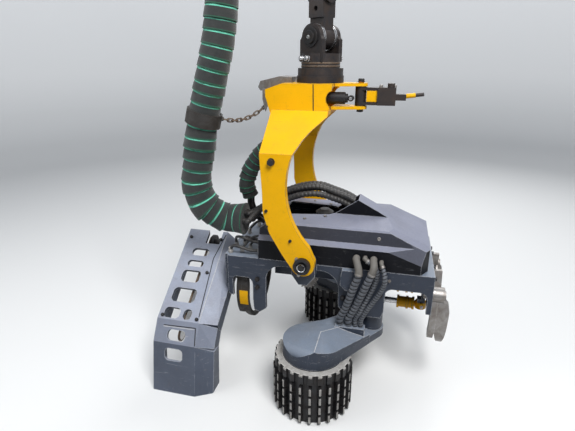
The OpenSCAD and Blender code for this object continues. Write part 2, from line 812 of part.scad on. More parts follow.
// Hoses from the wrap over the hood into its scoop. Columns: side and height where they leave the wrap,
// side over the hood, top of the arch, side and height where they go into the scoop
hood_hose_rows = [
    [-245, 936, -96, 1066, -26, 984], [-212, 968, -56, 1096, -26, 1024], [-176, 962, -14, 1100, 20, 1026],
    [-158, 920, 30, 1066, 24, 984]
];

module hood_hoses() color("#1d1f21") for (h = hood_hose_rows)
    hose([
        [sleeve_end_x + 0.4, h[0], h[1]], [-306, h[0], h[1]], [-290, h[0], h[1]],
        [-235, h[0] * 0.6 + h[2] * 0.4, 990], [-140, h[2], h[3] - 50], [-30, h[2], h[3] - 8],
        [60, h[2] * 0.85 + h[4] * 0.15, h[3]], [140, h[2] * 0.4 + h[4] * 0.6, h[3] * 0.7 + h[5] * 0.3 - 4],
        [205, h[4], h[5] + 22], [252, h[4], h[5]]
    ], 17, 3, 8);

// Guarded hoses from the hood's side to the roller arm. Columns: radius, start along the hood and height,
// reach, along and height half-way, along above the arm, along the arm's block
arm_hose_rows = [
    [20, 298, 800, -342, 318, 745, 296, 232], [20, 384, 800, -346, 388, 772, 350, 277],
    [13, 342, 806, -302, 404, 752, 396, 313], [13, 424, 790, -334, 446, 730, 436, 342]
];

module roller_hoses() color("#3c3d3f") for (h = arm_hose_rows)
    hose([
        [h[1], -frame_y - 0.4, h[2]], [h[1], -288, h[2]], [h[1], -300, h[2]], [h[4], h[3], h[5]],
        [h[6], h[3] + 6, 660], [h[7] + 26, hose_block_y - 8, 520], [h[7], hose_block_y, arm_z0 + hose_block_h + 46],
        [h[7], hose_block_y, arm_z0 + hose_block_h + 24], [h[7], hose_block_y, arm_z0 + hose_block_h + 0.4]
    ], h[0], 3, 8);

module roller_hoses_near() roller_hoses();

module roller_hoses_far() far_side() roller_hoses();

main_frame();
hood();
valve_block();
front_plate();
rear_bracket();
saw_box();
saw_motor();
saw_bar();
saw_chain();
tilt_pins();
arm_pins();
hood_hoses();
measuring_arm();
measuring_wheel();
roller_arm_near();
roller_arm_far();
roller_motor_near();
roller_motor_far();
feed_roller_near();
feed_roller_far();
roller_hoses_near();
roller_hoses_far();
arm_cylinder_near();
arm_cylinder_far();
arm_rod_near();
arm_rod_far();
front_knife_near();
front_knife_far();
rear_knife_near();
rear_knife_far();
top_knife();
tilt_frame();
bumper();
fork();
rotator_base();
chain();
hose_clamp();
hose_sleeve();
hose_branch();
guide_arm();
guide_rollers();
rotator();
rotator_pin();
link();
brake_discs();
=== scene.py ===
"""Harvester head for a forest crane: hoses, wraps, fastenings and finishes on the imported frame.

Lengths in the tables are in millimetres, apart from the stage's and the settings', which are in metres. They are
in the part's own frame: +X along the stem, +Z up, floor at Z = 0.
"""

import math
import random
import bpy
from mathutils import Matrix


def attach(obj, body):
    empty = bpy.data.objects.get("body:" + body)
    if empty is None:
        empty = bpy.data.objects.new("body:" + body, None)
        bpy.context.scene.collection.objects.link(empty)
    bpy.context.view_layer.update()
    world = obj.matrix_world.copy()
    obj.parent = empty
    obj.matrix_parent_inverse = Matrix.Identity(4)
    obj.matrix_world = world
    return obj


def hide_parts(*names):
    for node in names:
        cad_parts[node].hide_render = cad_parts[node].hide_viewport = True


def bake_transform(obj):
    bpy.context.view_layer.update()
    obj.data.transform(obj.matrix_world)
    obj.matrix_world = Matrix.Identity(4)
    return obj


bl_info = {
    "name": "Harvester head",
    "version": (1, 0, 0),
    "blender": (4, 5, 0),
    "location": "View3D > Sidebar > Harvester head",
    "description": "Dresses the frame of a harvester head with its hoses, wraps, fastenings and paint",
    "category": "Object",
}

import bmesh
import bpy
from mathutils import Matrix, Vector

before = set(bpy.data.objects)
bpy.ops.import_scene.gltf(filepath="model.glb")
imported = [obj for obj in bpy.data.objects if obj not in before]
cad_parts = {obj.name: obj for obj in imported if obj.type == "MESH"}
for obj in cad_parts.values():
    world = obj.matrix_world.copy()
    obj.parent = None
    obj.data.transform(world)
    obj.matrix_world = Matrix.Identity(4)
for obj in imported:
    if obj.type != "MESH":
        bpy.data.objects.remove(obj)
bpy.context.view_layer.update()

MM = 0.001
SIDES = (("near", -1), ("far", 1))
# How far these faces stand out from the middle: the tilt frame's legs and beam, the main frame's sides
LEG_FACE = 365
BEAM_FACE = 150
FRAME_FACE = 275


# Modelling by hand, in code: selection, primitives, copies


def alone(obj=None):
    """Deselect everything, then select obj alone."""
    if bpy.context.mode != "OBJECT":
        bpy.ops.object.mode_set(mode="OBJECT")
    bpy.ops.object.select_all(action="DESELECT")
    if obj is not None:
        obj.select_set(True)
        bpy.context.view_layer.objects.active = obj


def named(name):
    """The object that was just made, with its name."""
    obj = bpy.context.active_object
    obj.name = obj.data.name = name
    return obj


def settle(obj):
    """Put the object's place into its mesh."""
    alone(obj)
    bpy.ops.object.transform_apply(location=True, rotation=True, scale=True)
    return obj


def edit_top(obj):
    """Open obj in edit mode with the faces selected that look up."""
    alone(obj)
    bpy.ops.object.mode_set(mode="EDIT")
    bpy.ops.mesh.select_mode(type="FACE")
    mesh = bmesh.from_edit_mesh(obj.data)
    for v in mesh.verts:
        v.select = False
    mesh.select_flush(False)
    for f in mesh.faces:
        f.select = f.normal.z > 0.9
    mesh.select_flush(True)
    bmesh.update_edit_mesh(obj.data)


def done_editing():
    bpy.ops.object.mode_set(mode="OBJECT")


def bevelled(obj, width, segments=2, angle=35):
    """Round off every edge that is sharper than an angle."""
    alone(obj)
    m = obj.modifiers.new("edges", "BEVEL")
    m.width = width * MM
    m.segments = segments
    m.limit_method = "ANGLE"
    m.angle_limit = math.radians(angle)
    bpy.ops.object.modifier_apply(modifier=m.name)
    return obj


def smoothed(obj, angle=38):
    """Shade smooth, apart from the edges that are sharper than an angle."""
    alone(obj)
    bpy.ops.object.shade_smooth_by_angle(angle=math.radians(angle))
    return obj


def towards(place, direction, roll=0.0):
    """Matrix that stands a piece made along +Z at a place, pointing in a direction."""
    turn = Vector(direction).normalized().to_track_quat("Z", "Y").to_matrix().to_4x4()
    return Matrix.Translation(Vector(place) * MM) @ turn @ Matrix.Rotation(math.radians(roll), 4, "Z")


def on_side(places, sign):
    """Places of the near side, on the side of a sign."""
    return [(x, -y * sign, z) for x, y, z in places]


def joined(name, pieces):
    """One piece of several, under a name."""
    alone(pieces[0])
    for p in pieces:
        p.select_set(True)
    if len(pieces) > 1:
        bpy.ops.object.join()
    return settle(named(name))


def copies(master, name, places):
    """One piece of copies of a master, each at a matrix; the master is removed."""
    made = []
    for matrix in places:
        c = master.copy()
        c.data = master.data.copy()
        bpy.context.scene.collection.objects.link(c)
        c.matrix_world = matrix
        made.append(c)
    old = master.data
    bpy.data.objects.remove(master)
    bpy.data.meshes.remove(old)
    return joined(name, made)


def strip(a, b, out, width, thick):
    """Flat bar from one place to another, lying on a face that looks out."""
    a, b = Vector(a), Vector(b)
    x = (b - a).normalized()
    z = (Vector(out) - x * x.dot(Vector(out))).normalized()
    y = z.cross(x)
    obj = box((0, -width / 2, -0.5), ((b - a).length, width / 2, thick), "strip")
    turn = Matrix((x, y, z)).transposed().to_4x4()
    obj.data.transform(Matrix.Translation(a * MM) @ turn)
    return obj


def box(low, high, name):
    """Block between two corners."""
    alone()
    low, high = Vector(low) * MM, Vector(high) * MM
    bpy.ops.mesh.primitive_cube_add(size=1, location=(low + high) / 2, scale=high - low)
    return settle(named(name))


def disc(place, direction, radius, height, sides, name="disc"):
    """Cylinder from a place along a direction."""
    alone()
    bpy.ops.mesh.primitive_cylinder_add(vertices=sides, radius=radius * MM, depth=height * MM,
                                        location=(0, 0, height * MM / 2))
    obj = settle(named(name))
    obj.data.transform(towards(place, direction))
    return obj


def hex_bolt(across, tall=0.62):
    """Bolt head on its washer, along +Z: the width over its flats, and its height as a share of that."""
    radius = across / math.sqrt(3)
    washer = disc((0, 0, -1), (0, 0, 1), across * 0.62, 3.4, 20)
    alone()
    bpy.ops.mesh.primitive_cylinder_add(vertices=6, radius=radius * MM, depth=across * tall * MM,
                                        location=(0, 0, (2 + across * tall / 2) * MM))
    head = settle(named("head"))
    edit_top(head)
    bpy.ops.mesh.inset(thickness=radius * 0.16 * MM)
    bpy.ops.transform.translate(value=(0, 0, radius * 0.09 * MM))
    done_editing()
    bevelled(head, across * 0.03, 1, 50)
    return smoothed(joined("bolt", [washer, head]), 30)


def socket_screw(radius, height):
    """Round screw head with a recess."""
    head = disc((0, 0, -1), (0, 0, 1), radius, height + 1, 18)
    edit_top(head)
    bpy.ops.mesh.inset(thickness=radius * 0.2 * MM)
    bpy.ops.transform.translate(value=(0, 0, radius * 0.08 * MM))
    bpy.ops.mesh.inset(thickness=radius * 0.3 * MM)
    bpy.ops.transform.translate(value=(0, 0, -height * 0.5 * MM))
    done_editing()
    return smoothed(head, 30)


# Routes and tubes


def smooth_route(points, step):
    """Smooth curve through points in mm, as places in metres in equal steps, and its length."""
    p = [Vector(q) * MM for q in points]
    p = [p[0] * 2 - p[1]] + p + [p[-1] * 2 - p[-2]]
    fine = []
    for i in range(1, len(p) - 2):
        a, b, c, d = p[i - 1:i + 3]
        for k in range(24):
            t = k / 24
            fine.append(0.5 * (b * 2 + (c - a) * t + (a * 2 - b * 5 + c * 4 - d) * t * t
                               + (b * 3 - a - c * 3 + d) * t ** 3))
    fine.append(p[-2])
    lengths = [0.0]
    for a, b in zip(fine, fine[1:]):
        lengths.append(lengths[-1] + (b - a).length)
    count = max(2, round(lengths[-1] / (step * MM)))
    out, k = [], 0
    for i in range(count + 1):
        s = lengths[-1] * i / count
        while k < len(lengths) - 2 and lengths[k + 1] < s:
            k += 1
        f = (s - lengths[k]) / max(1e-9, lengths[k + 1] - lengths[k])
        out.append(fine[k].lerp(fine[k + 1], min(1, max(0, f))))
    return out, lengths[-1]


def frames_along(points):
    """Axis frames along a route that don't twist."""
    frames = []
    side = None
    for i, p in enumerate(points):
        t = (points[min(i + 1, len(points) - 1)] - points[max(i - 1, 0)]).normalized()
        if side is None:
            side = t.orthogonal().normalized()
        side = (side - t * side.dot(t)).normalized()
        frames.append((p, t, side, t.cross(side)))
    return frames


def tube_mesh(name, frames, rows, sides):
    """Closed tube of rings. Each row has its place along the frames and its radius by the angle, and its v."""
    mesh = bmesh.new()
    uv = mesh.loops.layers.uv.new("along")
    rings, vs = [], []
    last = len(frames) - 1
    for at, radius, v in rows:
        ring = []
        for k in range(sides):
            a = 2 * math.pi * k / sides
            here, r = at(a), radius(a)
            here = min(max(here, 0), last)
            i = min(int(here), last - 1)
            f = here - i
            p = frames[i][0].lerp(frames[i + 1][0], f)
            x = frames[i][2].lerp(frames[i + 1][2], f)
            y = frames[i][3].lerp(frames[i + 1][3], f)
            ring.append(mesh.verts.new(p + (x * math.cos(a) + y * math.sin(a)) * r * MM))
        rings.append(ring)
        vs.append(v)
    for j in range(len(rings) - 1):
        for k in range(sides):
            n = (k + 1) % sides
            f = mesh.faces.new((rings[j][k], rings[j][n], rings[j + 1][n], rings[j + 1][k]))
            corners = ((k, vs[j]), (k + 1, vs[j]), (k + 1, vs[j + 1]), (k, vs[j + 1]))
            for loop, (u, v) in zip(f.loops, corners):
                loop[uv].uv = (u / sides, v)
    for cap in (mesh.faces.new(list(reversed(rings[0]))), mesh.faces.new(rings[-1])):
        for loop in cap.loops:
            loop[uv].uv = (0.5, 0.5)
    bmesh.ops.recalc_face_normals(mesh, faces=mesh.faces[:])
    data = bpy.data.meshes.new(name)
    mesh.to_mesh(data)
    mesh.free()
    obj = bpy.data.objects.new(name, data)
    bpy.context.scene.collection.objects.link(obj)
    return obj


def spiral_hose(name, points, radius, pitch, depth, sides, per_turn=5, band=0.0):
    """Hose in a spiral guard, a low helical ridge all along it.

    per_turn is the rings on each turn, band the share of the pitch that is flat on top."""
    route, length = smooth_route(points, 8)
    frames = frames_along(route)
    turns = max(2, round(length / (pitch * MM)))
    last = len(frames) - 1

    def ring(share):
        """Row of the tube at a share of its length; the ridge runs out at both ends."""
        ends = max(0, min(1, share * turns / 1.5, (1 - share) * turns / 1.5))

        def place(_):
            return share * last

        def proud(angle):
            ridge = min(1, (0.5 + 0.5 * math.cos(2 * math.pi * share * turns - angle)) / (1 - band))
            return radius - depth + depth * ridge ** 0.6 * ends

        return place, proud, share * turns

    rows = [ring(j / (turns * per_turn)) for j in range(turns * per_turn + 1)]
    return smoothed(tube_mesh(name, frames, rows, sides), 60)


def wrap(name, points, radius, pitch, loose, seed, sides=40):
    """Fabric wrap round a bundle of hoses: bands like shingles, with a bound edge at both ends of each.

    loose lists (from, to, slack): between these shares of the length the bands sit askew by up to slack."""
    dice = random.Random(seed)
    route, length = smooth_route(points, 10)
    frames = frames_along(route)
    bands = max(3, round(length / (pitch * MM)))
    last = len(frames) - 1
    step = last / bands
    joints = []
    for k in range(bands + 1):
        share = k / bands
        slack = sum(s for a, b, s in loose if a <= share < b)
        joints.append((dice.uniform(0, 2 * math.pi), dice.uniform(0.4, 1) * slack, slack,
                       dice.uniform(-0.12, 0.12) if 0 < k < bands else 0))

    def joint(k, angle):
        """Place of the joint above band k, which may sit askew."""
        if k == 0:
            return 0
        if k == bands:
            return last
        phase, tilt, _, shift = joints[k]
        return (k + shift) * step + tilt * MM / (length / last) * math.cos(angle - phase)

    def ring(k, share, base, out, wave):
        """Row of the tube at a share of band k, standing out from the band's radius."""

        def place(angle):
            top, low = joint(k, angle), joint(k + 1, angle)
            return top + (low - top) * share

        def proud(angle):
            return base + out + 0.7 * math.sin(2 * angle + wave) + 0.4 * math.sin(5 * angle + 2 * wave)

        return place, proud, k + share

    rows = []
    edge = 0.09
    for k in range(bands):
        slack = joints[k][2]
        base = radius + dice.uniform(-1.2, 1.2) + slack * dice.uniform(-0.25, 0.5)
        wave = dice.uniform(0, 2 * math.pi)
        flare = 2.4 + slack * dice.uniform(0, 0.5)
        shape = ((0.0, -5.0), (edge * 0.5, -2.6), (edge, -2.2), (0.32, 0.2), (0.62, 1.6), (1 - edge, flare),
                 (1 - edge * 0.4, flare + 0.6), (0.998, flare - 1.4))
        rows += [ring(k, share, base, out, wave) for share, out in shape]
    return smoothed(tube_mesh(name, frames, rows, sides), 50)


# Finishes


class Nodes:
    """A material's node tree with short names for the nodes that the finishes use."""

    def __init__(self, name):
        self.material = bpy.data.materials.new(name)
        self.material.use_nodes = True
        self.tree = self.material.node_tree
        self.shader = self.tree.nodes["Principled BSDF"]
        self.place = self.new("ShaderNodeTexCoord").outputs["Object"]

    def new(self, kind, **values):
        node = self.tree.nodes.new(kind)
        for key, value in values.items():
            setattr(node, key, value)
        return node

    def put(self, socket, value):
        if isinstance(value, bpy.types.NodeSocket):
            self.tree.links.new(value, socket)
        else:
            socket.default_value = value

    def noise(self, scale, detail, rough, stretch=None, warp=0.0):
        vector = self.place
        if stretch:
            m = self.new("ShaderNodeMapping")
            self.put(m.inputs["Vector"], vector)
            m.inputs["Scale"].default_value = stretch
            vector = m.outputs[0]
        n = self.new("ShaderNodeTexNoise")
        self.put(n.inputs["Vector"], vector)
        n.inputs["Scale"].default_value = scale
        n.inputs["Detail"].default_value = detail
        n.inputs["Roughness"].default_value = rough
        n.inputs["Distortion"].default_value = warp
        return n.outputs["Fac"]

    def steps(self, value, stops):
        """Colour ramp; stops are (position, grey or colour)."""
        ramp = self.new("ShaderNodeValToRGB")
        self.put(ramp.inputs[0], value)
        ramp.color_ramp.elements[0].position = stops[0][0]
        ramp.color_ramp.elements[1].position = stops[-1][0]
        for _ in stops[1:-1]:
            ramp.color_ramp.elements.new(0.5)
        for element, (at, colour) in zip(sorted(ramp.color_ramp.elements, key=lambda e: e.position), stops):
            element.position = at
        for element, (at, colour) in zip(ramp.color_ramp.elements, stops):
            element.color = (colour, colour, colour, 1) if isinstance(colour, (int, float)) else colour
        return ramp.outputs[0]

    def mix(self, share, a, b):
        m = self.new("ShaderNodeMix", data_type="RGBA")
        self.put(m.inputs[0], share)
        self.put(m.inputs[6], a)
        self.put(m.inputs[7], b)
        return m.outputs[2]

    def math(self, kind, a, b=0.0):
        m = self.new("ShaderNodeMath", operation=kind)
        self.put(m.inputs[0], a)
        self.put(m.inputs[1], b)
        return m.outputs[0]

    def bump(self, height, strength, distance):
        b = self.new("ShaderNodeBump")
        b.inputs["Strength"].default_value = strength
        b.inputs["Distance"].default_value = distance
        self.put(b.inputs["Height"], height)
        return b.outputs[0]

    def edges(self, radius=0.006, low=0.02, high=0.12):
        """Share that is high within a radius of an edge, broken up by noise."""
        b = self.new("ShaderNodeBevel", samples=4)
        b.inputs["Radius"].default_value = radius
        g = self.new("ShaderNodeNewGeometry")
        d = self.new("ShaderNodeVectorMath", operation="DOT_PRODUCT")
        self.put(d.inputs[0], b.outputs[0])
        self.put(d.inputs[1], g.outputs["Normal"])
        turned = self.math("SUBTRACT", 1.0, d.outputs["Value"])
        broken = self.math("MULTIPLY", turned, self.steps(self.noise(38, 5, 0.7), [(0.38, 0), (0.62, 1.6)]))
        return self.steps(broken, [(low, 0), (high, 1)])

    def upward(self, low=0.2, high=0.95):
        """Share that is high on faces that look up: where dust lies, and where the paints' painted sky light
        goes.
        """
        g = self.new("ShaderNodeNewGeometry")
        s = self.new("ShaderNodeSeparateXYZ")
        self.put(s.inputs[0], g.outputs["Normal"])
        return self.steps(s.outputs["Z"], [(low, 0), (high, 1)])

    def finish(self, colour, rough, normal=None, metallic=0.0, **constants):
        """Wire up the shader; constants are the other sockets' values, all over the surface."""
        self.put(self.shader.inputs["Base Color"], colour)
        self.put(self.shader.inputs["Roughness"], rough)
        self.put(self.shader.inputs["Metallic"], metallic)
        if normal is not None:
            self.put(self.shader.inputs["Normal"], normal)
        for name, value in constants.items():
            self.shader.inputs[name.replace("_", " ")].default_value = value
        return self.material


def rgb(colour, k=1.0):
    """Colour made k times as bright, with its alpha."""
    return (colour[0] * k, colour[1] * k, colour[2] * k, 1)


def painted(name, colour, worn, dust, dusty, scratched, rough, faded=0.12, painted_sky_light=None, sheen=0.5):
    """Sprayed plate: faded patches, scratches down to steel, worn edges, dust on what looks up, and painted sky
    light on what looks up where its colour is given.

    painted_sky_light is a paler colour painted on what looks up, painted light that stands for the sky's light
    and its reflection there; sheen is the shader's specular level."""
    n = Nodes(name)
    fade = n.steps(n.noise(3.5, 6, 0.6, warp=0.6), [(0.3, 0), (0.7, 1)])
    base = n.mix(fade, rgb(colour, 1 - faded), rgb(colour, 1 + faded))
    # Painted light: faces that look up are blended towards the paler painted_sky_light colour, which stands in
    # for the sky's light and its reflection on them.
    if painted_sky_light:
        base = n.mix(n.upward(0.12, 0.75), base, n.mix(fade, rgb(painted_sky_light, 0.85), rgb(painted_sky_light, 1.12)))
    grain = n.noise(140, 3, 0.6)
    base = n.mix(n.steps(grain, [(0.35, 0.0), (0.8, 0.16)]), base, rgb(colour, 0.7))
    level = n.steps(n.noise(7, 12, 0.72, (1.0, 2.6, 9.0), 1.2), [(0.6, 0), (0.68, scratched)])
    upright = n.steps(n.noise(9, 12, 0.75, (8.0, 2.0, 1.2), 1.5), [(0.62, 0), (0.69, scratched)])
    marks = n.math("MAXIMUM", level, upright)
    base = n.mix(marks, base, rgb(worn))
    edge = n.edges()
    base = n.mix(edge, base, rgb(worn, 1.15))
    dirt = n.math("MULTIPLY", n.upward(), n.steps(n.noise(11, 8, 0.7), [(0.35, 0), (0.75, dusty)]))
    base = n.mix(dirt, base, rgb(dust))
    splash = n.steps(n.noise(26, 8, 0.75), [(0.58, 0), (0.7, dusty)])
    base = n.mix(splash, base, rgb(dust, 0.7))
    dull = n.steps(n.noise(16, 6, 0.65), [(0.3, 0), (0.7, 1)])
    gloss = n.math("ADD", n.math("MULTIPLY", dull, 0.16), rough - 0.08)
    gloss = n.math("ADD", gloss, n.math("MULTIPLY", dirt, 0.5))
    height = n.math("ADD", n.math("MULTIPLY", grain, 0.25), n.math("MULTIPLY", marks, -0.9))
    return n.finish(base, gloss, n.bump(height, 0.25, 0.0006), Specular_IOR_Level=sheen)


def steel(name, colour, stain, rough, metallic, stained, scale=18):
    """Bare steel or cast iron: stains, fine scratches and dull patches."""
    n = Nodes(name)
    patches = n.steps(n.noise(scale, 8, 0.7, warp=0.8), [(0.38, 0), (0.66, stained)])
    base = n.mix(patches, rgb(colour), rgb(stain))
    fine = n.noise(scale * 9, 6, 0.65, (1, 1, 3))
    base = n.mix(n.steps(fine, [(0.4, 0), (0.8, 0.35)]), base, rgb(colour, 0.55))
    edge = n.edges(0.003, 0.03, 0.2)
    base = n.mix(n.math("MULTIPLY", edge, 0.7), base, rgb(colour, 1.9))
    gloss = n.math("ADD", n.math("MULTIPLY", patches, 0.4), rough)
    return n.finish(base, gloss, n.bump(fine, 0.3, 0.0006), metallic=metallic)


def rubber(name, colour, rough, dusty=0.35, dust=(0.12, 0.11, 0.1)):
    """Scuffed rubber, paler where dust lies on it."""
    n = Nodes(name)
    dirt = n.steps(n.noise(14, 8, 0.7), [(0.4, 0), (0.75, dusty)])
    base = n.mix(dirt, rgb(colour), rgb(dust))
    base = n.mix(n.math("MULTIPLY", n.upward(0.0, 1.0), dusty * 0.6), base, rgb(dust))
    scuff = n.noise(120, 5, 0.7)
    return n.finish(base, n.math("ADD", n.math("MULTIPLY", dirt, 0.4), rough), n.bump(scuff, 0.2, 0.0006))


def guard(name, colour, gap, dust):
    """Spiral guard: pale worn band, with a dark gap between its turns."""
    n = Nodes(name)
    s = n.new("ShaderNodeSeparateXYZ")
    n.put(s.inputs[0], n.new("ShaderNodeUVMap", uv_map="along").outputs[0])
    turn = n.math("FRACT", n.math("ADD", n.math("SUBTRACT", s.outputs["Y"], s.outputs["X"]), 100.0))
    dirt = n.steps(n.noise(16, 8, 0.7), [(0.32, 0), (0.7, 0.75)])
    base = n.mix(dirt, rgb(colour), rgb(dust))
    base = n.mix(n.steps(n.noise(70, 6, 0.7), [(0.4, 0), (0.75, 0.5)]), base, rgb(colour, 0.5))
    dark = n.steps(turn, [(0.30, 0), (0.40, 1), (0.60, 1), (0.70, 0)])
    base = n.mix(dark, base, rgb(gap))
    gloss = n.math("ADD", n.math("MULTIPLY", dirt, 0.3), 0.5)
    return n.finish(base, gloss, n.bump(n.noise(120, 5, 0.7), 0.25, 0.0008))


def banded_fabric(name, cloth, bright, shaded_binding):
    """Wrap cloth: woven dark bands, their upper edge bound in bright green, their lower binding painted a darker
    green as painted shade, and painted near-black shade at each band's foot.
    """
    n = Nodes(name)
    s = n.new("ShaderNodeSeparateXYZ")
    n.put(s.inputs[0], n.new("ShaderNodeUVMap", uv_map="along").outputs[0])
    v = n.math("FRACT", s.outputs["Y"])
    weave = n.new("ShaderNodeTexWave", wave_type="BANDS", bands_direction="DIAGONAL")
    n.put(weave.inputs["Vector"], n.place)
    weave.inputs["Scale"].default_value = 120
    weave.inputs["Distortion"].default_value = 1.5
    dirt = n.steps(n.noise(9, 8, 0.7), [(0.3, 0), (0.75, 0.55)])
    base = n.mix(dirt, rgb(cloth), rgb((0.060, 0.062, 0.056)))
    base = n.mix(n.steps(n.noise(60, 6, 0.75), [(0.4, 0), (0.8, 0.4)]), base, rgb(cloth, 0.45))
    # Painted shade: the binding at each band's lower edge, which hangs over the next band, is painted a darker
    # green as if in shade.
    low = n.steps(v, [(0.84, 0), (0.9, 1)])
    base = n.mix(n.math("MULTIPLY", low, 0.85), base, rgb(shaded_binding))
    lip = n.steps(v, [(0.13, 1), (0.155, 0)])
    tint = n.mix(n.steps(n.noise(20, 5, 0.7), [(0.35, 0), (0.7, 1)]), rgb(bright, 0.7), rgb(bright, 1.15))
    base = n.mix(lip, base, tint)
    # Painted shade: near black at the very foot of each band, under its overlapping edge.
    gap = n.steps(v, [(0.975, 0), (0.995, 1)])
    base = n.mix(gap, base, (0.004, 0.004, 0.004, 1))
    height = n.math("ADD", weave.outputs["Fac"], n.noise(40, 5, 0.7))
    return n.finish(base, 0.85, n.bump(height, 0.5, 0.0012), Sheen_Weight=0.25)


# Sizes and colours a user may change


class StageSettings(bpy.types.PropertyGroup):
    """Camera and floor"""

    lens: bpy.props.FloatProperty(name="Lens", description="Focal length for a 36 mm wide frame",
                                  default=27.05, min=10, max=120, unit="CAMERA")
    camera_place: bpy.props.FloatVectorProperty(name="Camera", description="Where the camera stands",
                                                default=(0.440, -2.304, 1.75), size=3, unit="LENGTH",
                                                subtype="TRANSLATION")
    camera_turn: bpy.props.FloatProperty(name="Azimuth", description="Turn of the view round the head",
                                         default=math.radians(14), unit="ROTATION")
    camera_dip: bpy.props.FloatProperty(name="Dip", description="How far the camera looks down",
                                        default=math.radians(19.8), unit="ROTATION")
    floor_colour: bpy.props.FloatVectorProperty(name="Floor", description="Colour of the floor", size=3,
                                                default=(0.86, 0.86, 0.85), subtype="COLOR", min=0, max=1)
    floor_return: bpy.props.FloatProperty(name="Floor light",
                                          description="Share of its light that the floor throws back",
                                          default=0.3, min=0, max=1, subtype="FACTOR")


class FinishSettings(bpy.types.PropertyGroup):
    """Colours of the paints and the wraps"""

    yellow: bpy.props.FloatVectorProperty(name="Yellow", description="Paint of the tilt frame", size=3,
                                          default=(0.93, 0.48, 0.002), subtype="COLOR", min=0, max=1)
    frame_grey: bpy.props.FloatVectorProperty(name="Frame", description="Paint of the main frame", size=3,
                                              default=(0.032, 0.041, 0.062), subtype="COLOR", min=0, max=1)
    hood_grey: bpy.props.FloatVectorProperty(name="Hood", description="Paint of the hood", size=3,
                                             default=(0.006, 0.0065, 0.009), subtype="COLOR", min=0, max=1)
    saw_grey: bpy.props.FloatVectorProperty(name="Saw box", description="Paint of the saw box", size=3,
                                            default=(0.060, 0.075, 0.110), subtype="COLOR", min=0, max=1)
    band_green: bpy.props.FloatVectorProperty(name="Binding", description="Bound edges of the wraps", size=3,
                                              default=(0.17, 0.70, 0.50), subtype="COLOR", min=0, max=1)
    wrap_cloth: bpy.props.FloatVectorProperty(name="Wrap", description="Cloth of the hose wraps", size=3,
                                              default=(0.012, 0.016, 0.017), subtype="COLOR", min=0, max=1)


class HoseSettings(bpy.types.PropertyGroup):
    """Sizes of the wraps and the spiral guards"""

    wrap_radius: bpy.props.FloatProperty(name="Large wrap", description="Radius of the large hose wrap",
                                         default=0.0775, min=0.06, max=0.088, unit="LENGTH")
    wrap_pitch: bpy.props.FloatProperty(name="Large bands", description="Length of a band of the large wrap",
                                        default=0.058, min=0.03, max=0.1, unit="LENGTH")
    small_radius: bpy.props.FloatProperty(name="Small wrap", description="Radius of the small hose wrap",
                                          default=0.042, min=0.03, max=0.05, unit="LENGTH")
    small_pitch: bpy.props.FloatProperty(name="Small bands", description="Length of a band of the small wrap",
                                         default=0.037, min=0.02, max=0.06, unit="LENGTH")
    ridge_pitch: bpy.props.FloatProperty(name="Guard pitch", description="Pitch of the spiral guards",
                                         default=0.024, min=0.012, max=0.03, unit="LENGTH")


